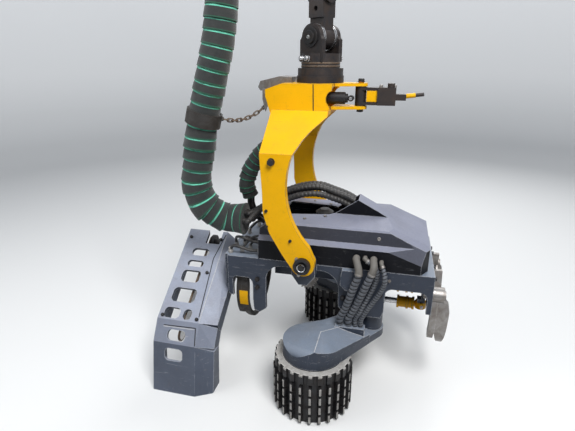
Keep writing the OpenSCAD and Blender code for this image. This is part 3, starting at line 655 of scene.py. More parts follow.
def finishes():
    """The materials by slot, and by names of their own where only scene pieces have them; made once."""
    if "yellow enamel" in bpy.data.materials:
        return {m["slot"]: m for m in bpy.data.materials if "slot" in m}
    s = bpy.context.scene.head_finish
    made = {
        "yellow_paint": painted(
            "yellow enamel", s.yellow, worn=(0.34, 0.2, 0.05), dust=(0.3, 0.19, 0.07),
            dusty=0.22, scratched=0.3, rough=0.38, faded=0.07, sheen=0.25),
        # Painted light on the frame: its paler top colour paints the sky's light on what looks up.
        "frame_paint": painted(
            "frame enamel", s.frame_grey, worn=(0.42, 0.43, 0.45), dust=(0.22, 0.19, 0.15),
            dusty=0.25, scratched=0.35, rough=0.44, painted_sky_light=(0.200, 0.240, 0.305), sheen=0.35),
        # Painted reflection on the hood: its paler top colour paints the sky's bright reflection on what looks
        # up.
        "hood_paint": painted(
            "hood enamel", s.hood_grey, worn=(0.30, 0.31, 0.34), dust=(0.26, 0.25, 0.24),
            dusty=0.15, scratched=0.15, rough=0.46, painted_sky_light=(0.245, 0.258, 0.330), sheen=0.12),
        # Painted reflection on the saw box: its paler top colour paints the sky's reflection on what looks up.
        "saw_paint": painted(
            "saw box enamel", s.saw_grey, worn=(0.42, 0.44, 0.48), dust=(0.24, 0.19, 0.15),
            dusty=0.35, scratched=0.7, rough=0.40, faded=0.2, painted_sky_light=(0.345, 0.380, 0.475), sheen=0.4),
        "chipped_edge": painted(
            "chipped edge", (0.40, 0.42, 0.46), worn=(0.6, 0.6, 0.62), dust=(0.2, 0.17, 0.14),
            dusty=0.5, scratched=0.9, rough=0.45),
        "dark_steel": steel(
            "oily steel", (0.026, 0.027, 0.030), stain=(0.028, 0.02, 0.015), rough=0.4, metallic=0.5,
            stained=0.7),
        "bright_steel": steel(
            "bright steel", (0.52, 0.52, 0.53), stain=(0.2, 0.17, 0.14), rough=0.22, metallic=0.95,
            stained=0.25),
        "worn_steel": steel(
            "worn steel", (0.30, 0.29, 0.28), stain=(0.11, 0.07, 0.045), rough=0.36, metallic=0.85,
            stained=0.55),
        "rotator_paint": steel(
            "rotator iron", (0.024, 0.023, 0.026), stain=(0.065, 0.040, 0.026), rough=0.40, metallic=0.4,
            stained=0.6, scale=12),
        "drum_rim": steel(
            "worn rim", (0.46, 0.45, 0.43), stain=(0.20, 0.175, 0.15), rough=0.6, metallic=0.1,
            stained=0.6, scale=30),
        "knife_iron": steel(
            "dark knife", (0.055, 0.052, 0.05), stain=(0.03, 0.022, 0.016), rough=0.45, metallic=0.5,
            stained=0.7),
        "chain_steel": steel(
            "rusty chain", (0.16, 0.13, 0.10), stain=(0.12, 0.055, 0.025), rough=0.5, metallic=0.6,
            stained=0.8, scale=60),
        "black_rubber": rubber("black rubber", (0.014, 0.014, 0.015), rough=0.45),
        "dusty_rubber": rubber(
            "dusty rubber", (0.10, 0.095, 0.088), rough=0.7, dusty=0.6, dust=(0.26, 0.24, 0.21)),
        "dark_gap": rubber("dark gap", (0.006, 0.006, 0.007), rough=0.8, dusty=0.1),
        "guarded_hose": guard(
            "guarded hose", (0.085, 0.095, 0.115), gap=(0.006, 0.006, 0.007), dust=(0.20, 0.21, 0.23)),
        # The wraps' lower binding colour is painted shade: a darker copy of the green binding.
        "sleeve_fabric": banded_fabric(
            "wrap cloth", s.wrap_cloth, bright=s.band_green, shaded_binding=(0.010, 0.095, 0.050)),
    }
    for slot, material in made.items():
        material["slot"] = slot
    return made


def wear(obj, slot, body=None, finish=None):
    """Give a piece its finish, and the body it rides on. finish is one that only scene pieces have."""
    obj.data.materials.clear()
    obj.data.materials.append(finishes()[finish or slot])
    if body:
        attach(obj, body)
    return obj


# Operators, one for each group of pieces


PAPER_RADIUS = 6.5
# The paper's wall, ring by ring: growth over the last ring and rise above it in metres
PAPER_WALL = ((1.18, 0.18), (1.10, 0.5), (1.05, 0.9), (1.02, 2.2), (1.01, 7.0))
# Lamps: name, place, size and power
LAMPS = (
    ("key_lamp", (1.7, -2.7, 4.8), 2.0, 250),
    ("fill_lamp", (-3.6, -1.9, 3.4), 2.8, 60),
    ("back_lamp", (1.0, 4.0, 4.2), 3.0, 110),
)
LAMP_AIM = Vector((0, 0, 0.9))


def paper(colour, thrown_back):
    """Pale paper that throws back a share of its light, and glows by its height where it is seen."""
    n = Nodes("studio paper")
    path = n.new("ShaderNodeLightPath")
    seen = n.math("MAXIMUM", n.math("MAXIMUM", path.outputs["Is Camera Ray"], path.outputs["Is Glossy Ray"]),
                  path.outputs["Is Transmission Ray"])
    place = n.new("ShaderNodeSeparateXYZ")
    n.put(place.inputs[0], n.place)
    glow = n.steps(n.math("MULTIPLY", place.outputs["Z"], 0.2), [(0.0, 0), (0.3, 0.26), (1.0, 0.5)])
    n.put(n.shader.inputs["Emission Strength"], n.math("MULTIPLY", seen, glow))
    tone = n.mix(seen, rgb(colour, thrown_back), rgb(colour))
    return n.finish(tone, 0.9, Emission_Color=(0.93, 0.96, 1, 1))


def paper_floor(s):
    """Round floor whose rim rises into a wall."""
    alone()
    bpy.ops.mesh.primitive_circle_add(vertices=96, radius=PAPER_RADIUS, fill_type="NGON", location=(0, 0, 0))
    floor = named("studio_floor")
    alone(floor)
    bpy.ops.object.mode_set(mode="EDIT")
    bpy.ops.mesh.select_all(action="SELECT")
    for grow, rise in PAPER_WALL:
        bpy.ops.mesh.select_mode(type="EDGE")
        bpy.ops.mesh.region_to_loop()
        bpy.ops.mesh.extrude_edges_move(TRANSFORM_OT_translate={"value": (0, 0, rise)})
        bpy.ops.transform.resize(value=(grow, grow, 1))
        mesh = bmesh.from_edit_mesh(floor.data)
        top = max(v.co.z for v in mesh.verts)
        for f in mesh.faces:
            f.select = False
        for e in mesh.edges:
            e.select = all(abs(v.co.z - top) < 1e-5 for v in e.verts)
        bmesh.update_edit_mesh(floor.data)
    done_editing()
    smoothed(floor, 60)
    floor.data.materials.append(paper(s.floor_colour, s.floor_return))


def hang_lamps():
    """Soft square lamps that look at the head's middle."""
    for name, place, size, power in LAMPS:
        alone()
        bpy.ops.object.light_add(type="AREA", location=place)
        lamp = bpy.context.active_object
        lamp.name = name
        lamp.data.size = size
        lamp.data.energy = power
        lamp.rotation_euler = (LAMP_AIM - Vector(place)).to_track_quat("-Z", "Y").to_euler()


def studio_sky():
    """Cool light from the sky on the head, and a paler sky where the camera or a gloss sees it."""
    world = bpy.data.worlds.new("studio sky")
    bpy.context.scene.world = world
    world.use_nodes = True
    nodes, links = world.node_tree.nodes, world.node_tree.links
    cool = nodes["Background"]
    cool.inputs["Color"].default_value = (0.80, 0.88, 1.0, 1)
    cool.inputs["Strength"].default_value = 0.6
    pale = nodes.new("ShaderNodeBackground")
    pale.inputs["Color"].default_value = (0.86, 0.90, 0.96, 1)
    pale.inputs["Strength"].default_value = 1.0
    path = nodes.new("ShaderNodeLightPath")
    seen = nodes.new("ShaderNodeMath")
    seen.operation = "MAXIMUM"
    links.new(path.outputs["Is Camera Ray"], seen.inputs[0])
    links.new(path.outputs["Is Glossy Ray"], seen.inputs[1])
    mixed = nodes.new("ShaderNodeMixShader")
    links.new(seen.outputs[0], mixed.inputs[0])
    links.new(cool.outputs[0], mixed.inputs[1])
    links.new(pale.outputs[0], mixed.inputs[2])
    links.new(mixed.outputs[0], nodes["World Output"].inputs["Surface"])


class HEAD_OT_stage(bpy.types.Operator):
    """Camera, floor, lamps and sky"""

    bl_idname = "head.stage"
    bl_label = "Stage"

    def execute(self, context):
        s = context.scene.head_stage
        alone()
        bpy.ops.object.camera_add(location=s.camera_place,
                                  rotation=(math.pi / 2 - s.camera_dip, 0, s.camera_turn))
        camera = context.active_object
        camera.name = "camera"
        camera.data.lens = s.lens
        camera.data.sensor_width = 36
        context.scene.camera = camera
        paper_floor(s)
        hang_lamps()
        studio_sky()
        context.scene.view_settings.view_transform = "Standard"
        return {"FINISHED"}


# Nodes whose iron is darker than the rest of their slot
DARK_IRON = ("rear_knife_near", "rear_knife_far", "hose_clamp")


class HEAD_OT_finishes(bpy.types.Operator):
    """Paint, steel and rubber on the frame's own pieces"""

    bl_idname = "head.finishes"
    bl_label = "Finishes"

    def execute(self, context):
        made = finishes()
        for node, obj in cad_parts.items():
            for slot in obj.material_slots:
                name = slot.material.name.split(".")[0]
                if name not in made:
                    raise RuntimeError(f"no finish for the slot {name}")
                slot.material = made["knife_iron" if node in DARK_IRON else name]
        return {"FINISHED"}


# Middle lines of the two wraps, from their upper ends down
SLEEVE_ROUTE = (
    (-384, -230, 2040), (-413, -240, 1840), (-458, -250, 1658), (-518, -250, 1440), (-554, -250, 1255),
    (-573, -250, 1120), (-530, -240, 1000), (-440, -210, 935), (-385, -200, 930), (-354, -200, 930),
    (-322, -200, 930),
)
BRANCH_ROUTE = (
    (-60, -95, 1415), (-120, -110, 1385), (-200, -120, 1330), (-290, -130, 1225), (-332, -130, 1115),
    (-318, -114, 1040),
)
# Pairs of bare hoses that lead on from the small wrap: name, body, and the line midway between the two
BARE_HOSES = (
    ("branch_hoses_lower", "head_frame",
     ((-322, -118, 1085), (-317, -112, 1046), (-326, -70, 960), (-300, 0, 870), (-232, 20, 830))),
    ("branch_hoses_upper", "tilt_frame",
     ((-92, -98, 1406), (-66, -95, 1416), (0, -60, 1440), (60, -30, 1472))),
)
BARE_ASIDE = 18


class HEAD_OT_wraps(bpy.types.Operator):
    """Large and small fabric wraps round the hoses from the crane"""

    bl_idname = "head.wraps"
    bl_label = "Hose wraps"

    def execute(self, context):
        s = context.scene.head_hoses
        large = wrap("hose_wrap_large", SLEEVE_ROUTE, s.wrap_radius / MM, s.wrap_pitch / MM,
                     [(0.36, 0.52, 5), (0.52, 1.0, 9)], seed=7)
        wear(large, "sleeve_fabric")
        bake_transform(large)
        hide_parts("hose_sleeve")
        small = wrap("hose_wrap_small", BRANCH_ROUTE, s.small_radius / MM, s.small_pitch / MM,
                     [(0.1, 1.0, 5)], seed=11, sides=32)
        wear(small, "sleeve_fabric")
        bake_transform(small)
        for name, body, route in BARE_HOSES:
            pair = []
            for aside in (-BARE_ASIDE, BARE_ASIDE):
                shifted = [(x, y + aside, z) for x, y, z in route]
                pair.append(spiral_hose("bare_hose", shifted, radius=15, pitch=9, depth=1.3, sides=14))
            wear(joined(name, pair), "black_rubber", body)
        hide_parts("hose_branch")
        return {"FINISHED"}


# Hoses over the hood: Y and Z where each leaves the sleeve, over the hood's top, and at the scoop
HOOD_HOSES = (
    (-245, 936, -96, 1066, -26, 984),
    (-212, 968, -56, 1096, -26, 1024),
    (-176, 962, -14, 1100, 20, 1026),
    (-158, 920, 30, 1066, 24, 984),
)


class HEAD_OT_hood_hoses(bpy.types.Operator):
    """Four ribbed hoses over the hood into its ridge"""

    bl_idname = "head.hood_hoses"
    bl_label = "Hood hoses"

    def execute(self, context):
        hoses = []
        for side, height, over, arch, inner, low in HOOD_HOSES:
            route = ((-321, side, height), (-306, side, height), (-290, side, height),
                     (-235, side * 0.6 + over * 0.4, 990), (-140, over, arch - 50), (-30, over, arch - 8),
                     (60, over * 0.85 + inner * 0.15, arch),
                     (140, over * 0.4 + inner * 0.6, arch * 0.7 + low * 0.3 - 4),
                     (205, inner, low + 22), (252, inner, low))
            hoses.append(spiral_hose("hood_hose", route, radius=17, pitch=21, depth=2.6, sides=14,
                                     per_turn=8, band=0.45))
        obj = wear(joined("hood_hose_set", hoses), "black_rubber", "head_frame")
        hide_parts("hood_hoses")
        return {"FINISHED"}


# Hoses to the near roller arm: radius, X and Z at the hood, Y, X and Z of the bow, X of the fall and the end
ARM_HOSES = (
    (20, 298, 800, -342, 318, 745, 296, 232),
    (20, 384, 800, -346, 388, 772, 350, 277),
    (13, 342, 806, -302, 404, 752, 396, 313),
    (13, 424, 790, -334, 446, 730, 436, 342),
)


class HEAD_OT_arm_hoses(bpy.types.Operator):
    """Guarded hoses from the hood's edge down to each roller arm"""

    bl_idname = "head.arm_hoses"
    bl_label = "Roller arm hoses"

    def execute(self, context):
        s = context.scene.head_hoses
        for side, sign in SIDES:
            hoses, elbows, ferrules = [], [], []
            for radius, start, top, out, way, height, over, end in ARM_HOSES:
                route = ((start, -276, top), (start, -288, top), (start, -300, top), (way, out, height),
                         (over, out + 6, 660), (end + 26, -312, 520), (end, -304, 458), (end, -304, 436),
                         (end, -304, 412.6))
                whole, _ = smooth_route(on_side(route, sign), 10)
                # The first steps from the hood are a bare elbow, longer on the thick hoses
                bare = 11 if radius > 15 else 5
                elbow = [p / MM for p in whole[:bare + 1]]
                elbows.append(spiral_hose("elbow", elbow, radius - 1.5, pitch=20, depth=0.2, sides=20,
                                          per_turn=2))
                guarded = [p / MM for p in whole[bare:]]
                hoses.append(spiral_hose("arm_hose", guarded, radius, s.ridge_pitch / MM * radius / 20,
                                         radius * 0.15, sides=16, per_turn=10, band=0.5))
                along = whole[bare + 1] - whole[bare - 1]
                ferrules.append(disc(whole[bare - 1] / MM, along, radius + 1.5, 11, 24))
            wear(joined(f"arm_hose_elbows_{side}", elbows), "guarded_hose", "head_frame", "dusty_rubber")
            wear(bevelled(joined(f"arm_hose_ferrules_{side}", ferrules), 2), "worn_steel", "head_frame")
            obj = wear(joined(f"arm_hose_set_{side}", hoses), "guarded_hose")
            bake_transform(obj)
            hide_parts(f"roller_hoses_{side}")
        return {"FINISHED"}


# Thin hoses of the rear deck: radius and middle line, from the deck to the hood
DECK_HOSES = (
    (8, ((-398, -150, 736), (-398, -158, 772), (-378, -196, 816), (-330, -222, 826), (-280, -206, 802),
         (-231, -196, 790))),
    (8, ((-366, -96, 736), (-364, -106, 764), (-340, -146, 800), (-296, -160, 798), (-231, -150, 792))),
    (9, ((-402, -236, 736), (-402, -238, 758), (-376, -250, 786), (-330, -250, 778), (-284, -240, 762),
         (-231, -228, 762))),
    (7, ((-342, -214, 736), (-340, -216, 756), (-320, -212, 786), (-284, -196, 822), (-231, -188, 836))),
    (7, ((-310, -168, 736), (-309, -170, 756), (-296, -176, 780), (-266, -166, 790), (-231, -164, 762))),
    (8, ((-392, 60, 736), (-390, 70, 764), (-350, 110, 800), (-296, 130, 798), (-231, 130, 792))),
    (8, ((-370, 190, 736), (-368, 196, 764), (-340, 206, 790), (-290, 204, 782), (-231, 200, 780))),
)


class HEAD_OT_rear_hoses(bpy.types.Operator):
    """Thin hoses and couplings on the deck behind the hood"""

    bl_idname = "head.rear_hoses"
    bl_label = "Rear hoses"

    def execute(self, context):
        hoses, couplings = [], []
        for radius, route in DECK_HOSES:
            hoses.append(spiral_hose("deck_hose", route, radius, pitch=30, depth=0.3, sides=12, per_turn=3))
            start, end = Vector(route[0]), Vector(route[-1])
            couplings += [
                disc(start, (0, 0, 1), radius + 5, 15, 6),
                disc(start + Vector((0, 0, 15)), Vector(route[1]) - start, radius + 3, 17, 16),
                disc(end - Vector((1, 0, 0)), (-1, 0, 0), radius + 5, 14, 6),
            ]
        wear(joined("deck_hoses", hoses), "black_rubber", "head_frame")
        wear(bevelled(joined("deck_couplings", couplings), 1), "worn_steel", "head_frame", "drum_rim")
        return {"FINISHED"}


# Feed rollers: X of their axes and distance from the middle, ribs, radii of rib tips and rim teeth, top
ROLLER_X = 110
ROLLER_Y = 420
RIBS = 26
RIB_TIP = 210
TOOTH_RADIUS = 191
ROLLER_TOP = 300
# Feet of the four rows of lugs
LUG_ROWS = (14, 72, 130, 188)


def on_roller(sign, radius, turn, height):
    """Matrix that stands a piece on a feed roller, facing outwards."""
    out = Vector((radius * math.cos(turn), radius * math.sin(turn), height))
    place = Vector((ROLLER_X, sign * ROLLER_Y, 0)) + out
    return Matrix.Translation(place * MM) @ Matrix.Rotation(turn, 4, "Z")


class HEAD_OT_rollers(bpy.types.Operator):
    """Worn rim, teeth and lug edges of the feed rollers"""

    bl_idname = "head.rollers"
    bl_label = "Feed rollers"

    def execute(self, context):
        turns = [2 * math.pi * i / RIBS for i in range(RIBS)]
        for side, sign in SIDES:
            body = f"feed_roller_{side}"
            alone()
            bpy.ops.mesh.primitive_torus_add(major_segments=4 * RIBS, minor_segments=4, major_radius=0.178,
                                             minor_radius=0.016)
            rim = settle(named("rim"))
            rim.data.transform(on_roller(sign, 0, 0, ROLLER_TOP) @ Matrix.Scale(0.16, 4, (0, 0, 1)))
            tooth = bevelled(box((-10, -10, -11), (12, 10, 1.6), "tooth"), 2.5)
            teeth = copies(tooth, "teeth", [on_roller(sign, TOOTH_RADIUS, a, ROLLER_TOP) for a in turns])
            wear(smoothed(joined(f"roller_rim_{side}", [rim, teeth])), "dark_steel", body, "drum_rim")
            lug = bevelled(box((-3, -5.5, 4), (1.2, 5.5, 44), "lug"), 1.5)
            edges = copies(lug, f"roller_lug_edges_{side}",
                           [on_roller(sign, RIB_TIP, a, low) for a in turns for low in LUG_ROWS])
            wear(edges, "dark_steel", body, "drum_rim")
        return {"FINISHED"}


# Housing over the near feed roller: angle round the drum and height of the wall's top edge
HOUSING_WALL = ((119, 372), (180, 382), (203, 380), (244, 354), (282, 412), (326.6, 386))
HOUSING_RADIUS = 160
HOUSING_FOOT = 302
HOUSING_STEP = 6
HOUSING_RIDGE = ((142, -574, 413), (147, -418, 425), (322, -222, 385))
HOUSING_CORNERS = ((66, -500, 404), (140, -217, 372), (250, -153, 366), (394, -292, 366),
                   (140, -217, 309), (250, -153, 309), (394, -292, 309))
# The arm's own ring over the drum lies between these radii, and is drawn in under the housing's wall
ARM_RING = (160, 169)


def arm_under_housing(node, sign):
    """Copy of a roller arm whose ring over the drum is drawn in."""
    arm = node.copy()
    arm.data = node.data.copy()
    bpy.context.scene.collection.objects.link(arm)
    settle(arm)
    for v in arm.data.vertices:
        out = Vector((v.co.x / MM - ROLLER_X, v.co.y / MM * -sign + ROLLER_Y))
        if ARM_RING[0] < out.length < ARM_RING[1]:
            out *= (HOUSING_RADIUS - 2) / out.length
            v.co.x, v.co.y = (out.x + ROLLER_X) * MM, (out.y - ROLLER_Y) * -sign * MM
    return arm


def housing_places():
    """Places on the near housing: ridge, corners, and the wall's foot and top in steps round the drum."""
    places = list(HOUSING_RIDGE + HOUSING_CORNERS)
    for (a, low), (b, high) in zip(HOUSING_WALL, HOUSING_WALL[1:]):
        steps = max(1, round((b - a) / HOUSING_STEP))
        for k in range(steps + (b == HOUSING_WALL[-1][0])):
            turn = math.radians(a + (b - a) * k / steps)
            x = ROLLER_X + HOUSING_RADIUS * math.cos(turn)
            y = -ROLLER_Y + HOUSING_RADIUS * math.sin(turn)
            places += [(x, y, HOUSING_FOOT), (x, y, low + (high - low) * k / steps)]
    return places


def housing_shell(sign):
    """Faceted shell stretched over the housing's places."""
    alone()
    bpy.ops.mesh.primitive_plane_add(size=0.01)
    shell = named("housing")
    bpy.ops.object.mode_set(mode="EDIT")
    mesh = bmesh.from_edit_mesh(shell.data)
    bmesh.ops.delete(mesh, geom=mesh.verts[:], context="VERTS")
    for place in on_side(housing_places(), sign):
        mesh.verts.new(Vector(place) * MM)
    bmesh.update_edit_mesh(shell.data)
    bpy.ops.mesh.select_all(action="SELECT")
    bpy.ops.mesh.convex_hull()
    bpy.ops.mesh.normals_make_consistent(inside=False)
    done_editing()
    return settle(bevelled(shell, 3, 2, 12))


class HEAD_OT_housings(bpy.types.Operator):
    """Roller arms with the faceted housing over each drum"""

    bl_idname = "head.housings"
    bl_label = "Roller housings"

    def execute(self, context):
        for side, sign in SIDES:
            arm = arm_under_housing(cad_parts[f"roller_arm_{side}"], sign)
            obj = smoothed(joined(f"roller_housing_{side}", [arm, housing_shell(sign)]), 20)
            wear(obj, "frame_paint", f"roller_arm_{side}")
            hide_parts(f"roller_arm_{side}")
            ridge = on_side(HOUSING_RIDGE, sign)
            worn = [strip(a, b, (0, 0, 1), 4, 1.2) for a, b in zip(ridge, ridge[1:])]
            wear(joined(f"housing_ridge_{side}", worn), "frame_paint", f"roller_arm_{side}", "chipped_edge")
        return {"FINISHED"}


# Saw box: Y and Z of its outer face from the top down, and how far down its fold is
SAW_FACE = ((20, 745), (-460, 395), (-525, 285), (-580, 0))
SAW_FOLD = 594
# The face steps in by this much between these X
SAW_STEP = 45
SAW_STEP_X = (-520, -470)
# Seams and chipped edges from end to end, and bolts: X and the distance down the face
SAW_SEAMS = (((-526, 22), (-557, 191)), ((-557, 191), (-530, 560)), ((-534, 622), (-724, 628)),
             ((-534, 622), (-524, 716)))
SAW_EDGES = (((-521, 30), (-521, 590)), ((-540, 630), (-724, 634)))
SAW_BOLTS = ((-566, 290), (-538, 575), (-548, 61), (-744, 60), (-744, 575))


def on_saw_box(x, along):
    """Place on the saw box's outer face, by X and the distance down the face, and the face's normal there."""
    for (y0, z0), (y1, z1) in zip(SAW_FACE, SAW_FACE[1:]):
        length = math.hypot(y1 - y0, z1 - z0)
        if along <= length or z1 == 0:
            break
        along -= length
    f = along / length
    start, end = SAW_STEP_X
    step = SAW_STEP * min(max((x - start) / (end - start), 0), 1)
    drop = step * (1 - 0.4 * f if z0 == SAW_FACE[0][1] else 0.6)
    place = Vector((x, y0 + (y1 - y0) * f + step, z0 + (z1 - z0) * f - drop))
    return place, Vector((0, (z1 - z0) / length, -(y1 - y0) / length))


def saw_strips(lines, width, thick):
    """Strips along lines on the saw box's face, parted at its fold."""
    pieces = []
    for (xa, a), (xb, b) in lines:
        cuts = [a, SAW_FOLD, b] if a < SAW_FOLD < b else [a, b]
        for low, high in zip(cuts, cuts[1:]):
            f, g = (low - a) / (b - a), (high - a) / (b - a)
            start, out = on_saw_box(xa + (xb - xa) * f, low + 0.2)
            end, _ = on_saw_box(xa + (xb - xa) * g, high - 0.2)
            pieces.append(strip(start, end, out, width, thick))
    return pieces


class HEAD_OT_saw_box(bpy.types.Operator):
    """Seams, chipped edges and bolts of the saw box"""

    bl_idname = "head.saw_box"
    bl_label = "Saw box"

    def execute(self, context):
        seams = joined("saw_box_seams", saw_strips(SAW_SEAMS, 5, 0.9))
        wear(seams, "saw_paint", "head_frame", "dark_gap")
        edges = joined("saw_box_edges", saw_strips(SAW_EDGES, 5, 1.2))
        wear(edges, "saw_paint", "head_frame", "chipped_edge")
        spots = [towards(*on_saw_box(x, along)) for x, along in SAW_BOLTS]
        wear(copies(hex_bolt(17, 0.5), "saw_box_bolts", spots), "dark_steel", "head_frame")
        return {"FINISHED"}


# Outer edge of the far rear knife, where its cheek lies: middle, radius and angles
CHEEK_MIDDLE = (-330, 12, 480)
CHEEK_RADIUS = 239.5
CHEEK_TURNS = range(-15, 8, 2)


class HEAD_OT_knife_cheeks(bpy.types.Operator):
    """Yellow cheeks on the rear knives"""

    bl_idname = "head.knife_cheeks"
    bl_label = "Knife cheeks"

    def execute(self, context):
        x, y, z = CHEEK_MIDDLE
        turns = [math.radians(a) for a in CHEEK_TURNS]
        for side, sign in SIDES:
            edge = [(x, sign * (y + CHEEK_RADIUS * math.cos(a)), z + CHEEK_RADIUS * math.sin(a))
                    for a in turns]
            parts = []
            for i, (start, end) in enumerate(zip(edge, edge[1:])):
                turn = (turns[i] + turns[i + 1]) / 2
                parts.append(strip(start, end, (0, sign * math.cos(turn), math.sin(turn)), 50, 4))
            wear(joined(f"rear_knife_cheek_{side}", parts), "yellow_paint", f"rear_knife_{side}")
        return {"FINISHED"}


# Bolts on both sides: name, width over flats, slot, body, how far out, and X and Z of each
PLATE_BOLTS = (
    ("leg_bolts", 30, "dark_steel", "tilt_frame", LEG_FACE + 0.2, ((-124, 1294),)),
    ("leg_screws", 13, "dark_steel", "tilt_frame", LEG_FACE + 0.2, ((-153, 1045), (-152, 962), (-30, 896))),
    ("pin_locks", 15, "worn_steel", "tilt_frame", LEG_FACE + 0.2, ((16, 712), (4, 800))),
    ("arch_bolts", 22, "dark_steel", "head_frame", FRAME_FACE,
     ((-238, 610), (-238, 560), (236, 560), (430, 600))),
    ("deck_bolts", 13, "worn_steel", "head_frame", FRAME_FACE, ((470, 690), (640, 560))),
)
# Bolts of the front plate: its X, and Y and Z of each
FRONT_X = 690
FRONT_BOLTS = ((-90, 706), (-198, 690), (90, 706), (198, 690))
# Screws on the hood's slopes, one of each on either side: place and the way it looks
HOOD_SCREWS = (
    ((402, 240, 900), (0, 0.98, 0.2)),
    ((104, 110, 949.2), (0, 0.09, 1)),
    ((1, 160, 944.3), (0, 0.09, 1)),
)
TILT_PIN = (33, LEG_FACE + 34, 766)


def pin_nut():
    """Round nut with a dished face."""
    nut = disc((0, 0, -12), (0, 0, 1), 21, 14, 32)
    edit_top(nut)
    bpy.ops.mesh.inset(thickness=0.010)
    bpy.ops.transform.translate(value=(0, 0, -0.011))
    done_editing()
    return smoothed(bevelled(nut, 1.2), 30)


class HEAD_OT_fastenings(bpy.types.Operator):
    """Bolts, nuts and screws that hold the plates"""

    bl_idname = "head.fastenings"
    bl_label = "Fastenings"

    def execute(self, context):
        for name, across, slot, body, out, places in PLATE_BOLTS:
            spots = [towards((x, sign * out, z), (0, sign, 0), 12 * i)
                     for i, (x, z) in enumerate(places) for _, sign in SIDES]
            wear(copies(hex_bolt(across), name, spots), slot, body)
        spots = [towards((FRONT_X, y, z), (1, 0, 0), 10 * i) for i, (y, z) in enumerate(FRONT_BOLTS)]
        wear(copies(hex_bolt(22), "front_bolts", spots), "dark_steel", "head_frame")
        spots = [towards((x, sign * y, z), (0, sign * lean, up))
                 for (x, y, z), (_, lean, up) in HOOD_SCREWS for _, sign in SIDES]
        wear(copies(socket_screw(9, 5), "hood_screws", spots), "worn_steel", "head_frame")
        x, y, z = TILT_PIN
        spots = [towards((x, sign * y, z), (0, sign, 0)) for _, sign in SIDES]
        wear(copies(pin_nut(), "pin_nuts", spots), "bright_steel", "head_frame")
        return {"FINISHED"}


# Guide arm: Y and Z of the small cylinder's axis, X of its eye, Z of the arm's top and X and Y of its bolts
GUIDE_CYLINDER = (-40, 1568)
GUIDE_EYE = 206
GUIDE_ARM_TOP = 1621.2
GUIDE_ARM_BOLTS = ((350, -26), (350, 26), (418, 0))


class HEAD_OT_guide_fittings(bpy.types.Operator):
    """Seams of the beam, bolts of the fork, and the guide arm's cylinder, web and rod"""

    bl_idname = "head.guide_fittings"
    bl_label = "Guide arm fittings"

    def execute(self, context):
        out = BEAM_FACE + 0.2
        seams = [strip((31, sign * out, 1639), (35, sign * out, 1487), (0, sign, 0), 5, 0.9)
                 for _, sign in SIDES]
        wear(joined("beam_seams", seams), "yellow_paint", "tilt_frame", "dark_gap")
        y, z = GUIDE_CYLINDER
        wear(joined("guide_cylinder", [
            bevelled(disc((66, y, z), (1, 0, 0), 30, 112, 40), 3),
            bevelled(disc((176, y, z), (1, 0, 0), 22, 14, 32), 2),
            disc((188, y, z), (1, 0, 0), 10, 20, 24),
            bevelled(disc((GUIDE_EYE, y - 18, z), (0, 1, 0), 15, 36, 32), 2),
        ]), "dark_steel", "tilt_frame")
        pin = disc((GUIDE_EYE, y - 26, z), (0, 1, 0), 8, 52, 20, "guide_cylinder_pin")
        wear(bevelled(pin, 1), "bright_steel", "tilt_frame")
        web = box((281, -30, 1550.5), (336, 30, 1605.5), "guide_arm_web")
        wear(bevelled(web, 2), "yellow_paint", "guide_arm")
        sleeve = disc((474, 0, 1580), (85, 0, 10), 11.5, 46, 24, "guide_rod_sleeve")
        wear(bevelled(sleeve, 1), "yellow_paint", "guide_arm")
        spots = [towards((250, 0, 1647.2), (0, 0, 1)), towards((250, 0, 1512.8), (0, 0, -1), 20)]
        wear(copies(hex_bolt(30, 0.4), "fork_bolts", spots), "dark_steel", "tilt_frame")
        spots = [towards((x, y, GUIDE_ARM_TOP), (0, 0, 1), 15 * i)
                 for i, (x, y) in enumerate(GUIDE_ARM_BOLTS)]
        wear(copies(hex_bolt(15), "guide_arm_bolts", spots), "worn_steel", "guide_arm")
        return {"FINISHED"}


# Rotator: X of its axis, radius and feet of its bands, X, Y and Z of its bolts
ROTATOR_X = 40
BAND_RADIUS = 99.4
BAND_FEET = (1716, 1731)
ROTATOR_BOLTS = ((-44, -51), (-10, -84), (124, 51), (90, 84))
ROTATOR_BOLT_Z = 1757
# The link's pin in the rotator: its height, its turn from X, and what sits on its ends
LINK_PIN_Z = 1855
LINK_PIN_TURN = 58
PIN_ENDS = (
    ("rotator_pin_caps", 46, 76.2, 8, "dark_steel"),
    ("rotator_pin_rings", 31, 84, 9.5, "dark_steel"),
    ("rotator_pin_screws", 9, 92.2, 7, "bright_steel"),
)


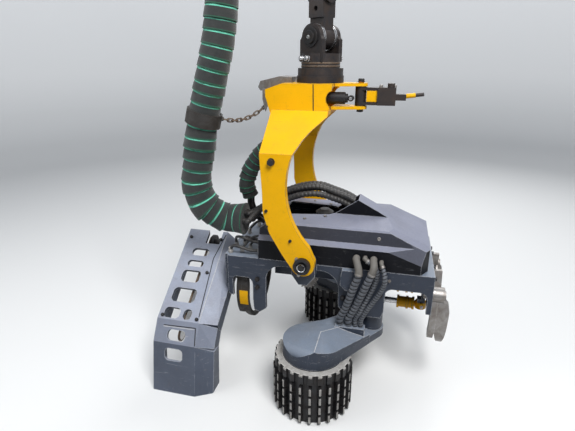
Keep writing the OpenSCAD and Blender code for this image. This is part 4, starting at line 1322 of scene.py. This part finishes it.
class HEAD_OT_rotator_fittings(bpy.types.Operator):
    """Bands and bolts of the rotator, and what sits on the ends of its pin"""

    bl_idname = "head.rotator_fittings"
    bl_label = "Rotator fittings"

    def execute(self, context):
        rings = [disc((ROTATOR_X, 0, z), (0, 0, 1), BAND_RADIUS, 9, 64) for z in BAND_FEET]
        bands = smoothed(bevelled(joined("rotator_bands", rings), 1.5))
        wear(bands, "rotator_paint", "rotator", "chain_steel")
        turn = math.radians(LINK_PIN_TURN)
        out = Vector((math.cos(turn), math.sin(turn), 0))
        pin = Vector((ROTATOR_X, 0, LINK_PIN_Z))
        for name, radius, start, depth, slot in PIN_ENDS:
            ends = [bevelled(disc(pin + out * start * d, out * d, radius, depth, 40), 1.5) for d in (-1, 1)]
            wear(joined(name, ends), slot, "rotator")
        spots = [towards((x, y, ROTATOR_BOLT_Z), (x - ROTATOR_X, y, 0), 20 * i)
                 for i, (x, y) in enumerate(ROTATOR_BOLTS)]
        wear(copies(hex_bolt(24), "rotator_bolts", spots), "worn_steel", "rotator", "bright_steel")
        return {"FINISHED"}


GROUPS = (
    HEAD_OT_stage, HEAD_OT_finishes, HEAD_OT_wraps, HEAD_OT_hood_hoses, HEAD_OT_arm_hoses, HEAD_OT_rear_hoses,
    HEAD_OT_rollers, HEAD_OT_housings, HEAD_OT_saw_box, HEAD_OT_knife_cheeks, HEAD_OT_fastenings,
    HEAD_OT_guide_fittings, HEAD_OT_rotator_fittings,
)


class HEAD_PT_panel(bpy.types.Panel):
    """Steps that dress the harvester head"""

    bl_idname = "HEAD_PT_panel"
    bl_label = "Harvester head"
    bl_space_type = "VIEW_3D"
    bl_region_type = "UI"
    bl_category = "Harvester head"

    def draw(self, context):
        for group in (context.scene.head_stage, context.scene.head_finish, context.scene.head_hoses):
            for name in group.bl_rna.properties.keys():
                if name not in ("rna_type", "name"):
                    self.layout.prop(group, name)
        for operator in GROUPS:
            self.layout.operator(operator.bl_idname)


SETTINGS = (("head_stage", StageSettings), ("head_finish", FinishSettings), ("head_hoses", HoseSettings))


def register():
    for name, group in SETTINGS:
        bpy.utils.register_class(group)
        setattr(bpy.types.Scene, name, bpy.props.PointerProperty(type=group))
    for cls in GROUPS + (HEAD_PT_panel,):
        bpy.utils.register_class(cls)


def unregister():
    for cls in reversed(GROUPS + (HEAD_PT_panel,)):
        bpy.utils.unregister_class(cls)
    for name, group in reversed(SETTINGS):
        delattr(bpy.types.Scene, name)
        bpy.utils.unregister_class(group)


def main():
    register()
    for operator in GROUPS:
        group, name = operator.bl_idname.split(".")
        getattr(getattr(bpy.ops, group), name)()


if __name__ == "__main__":
    main()
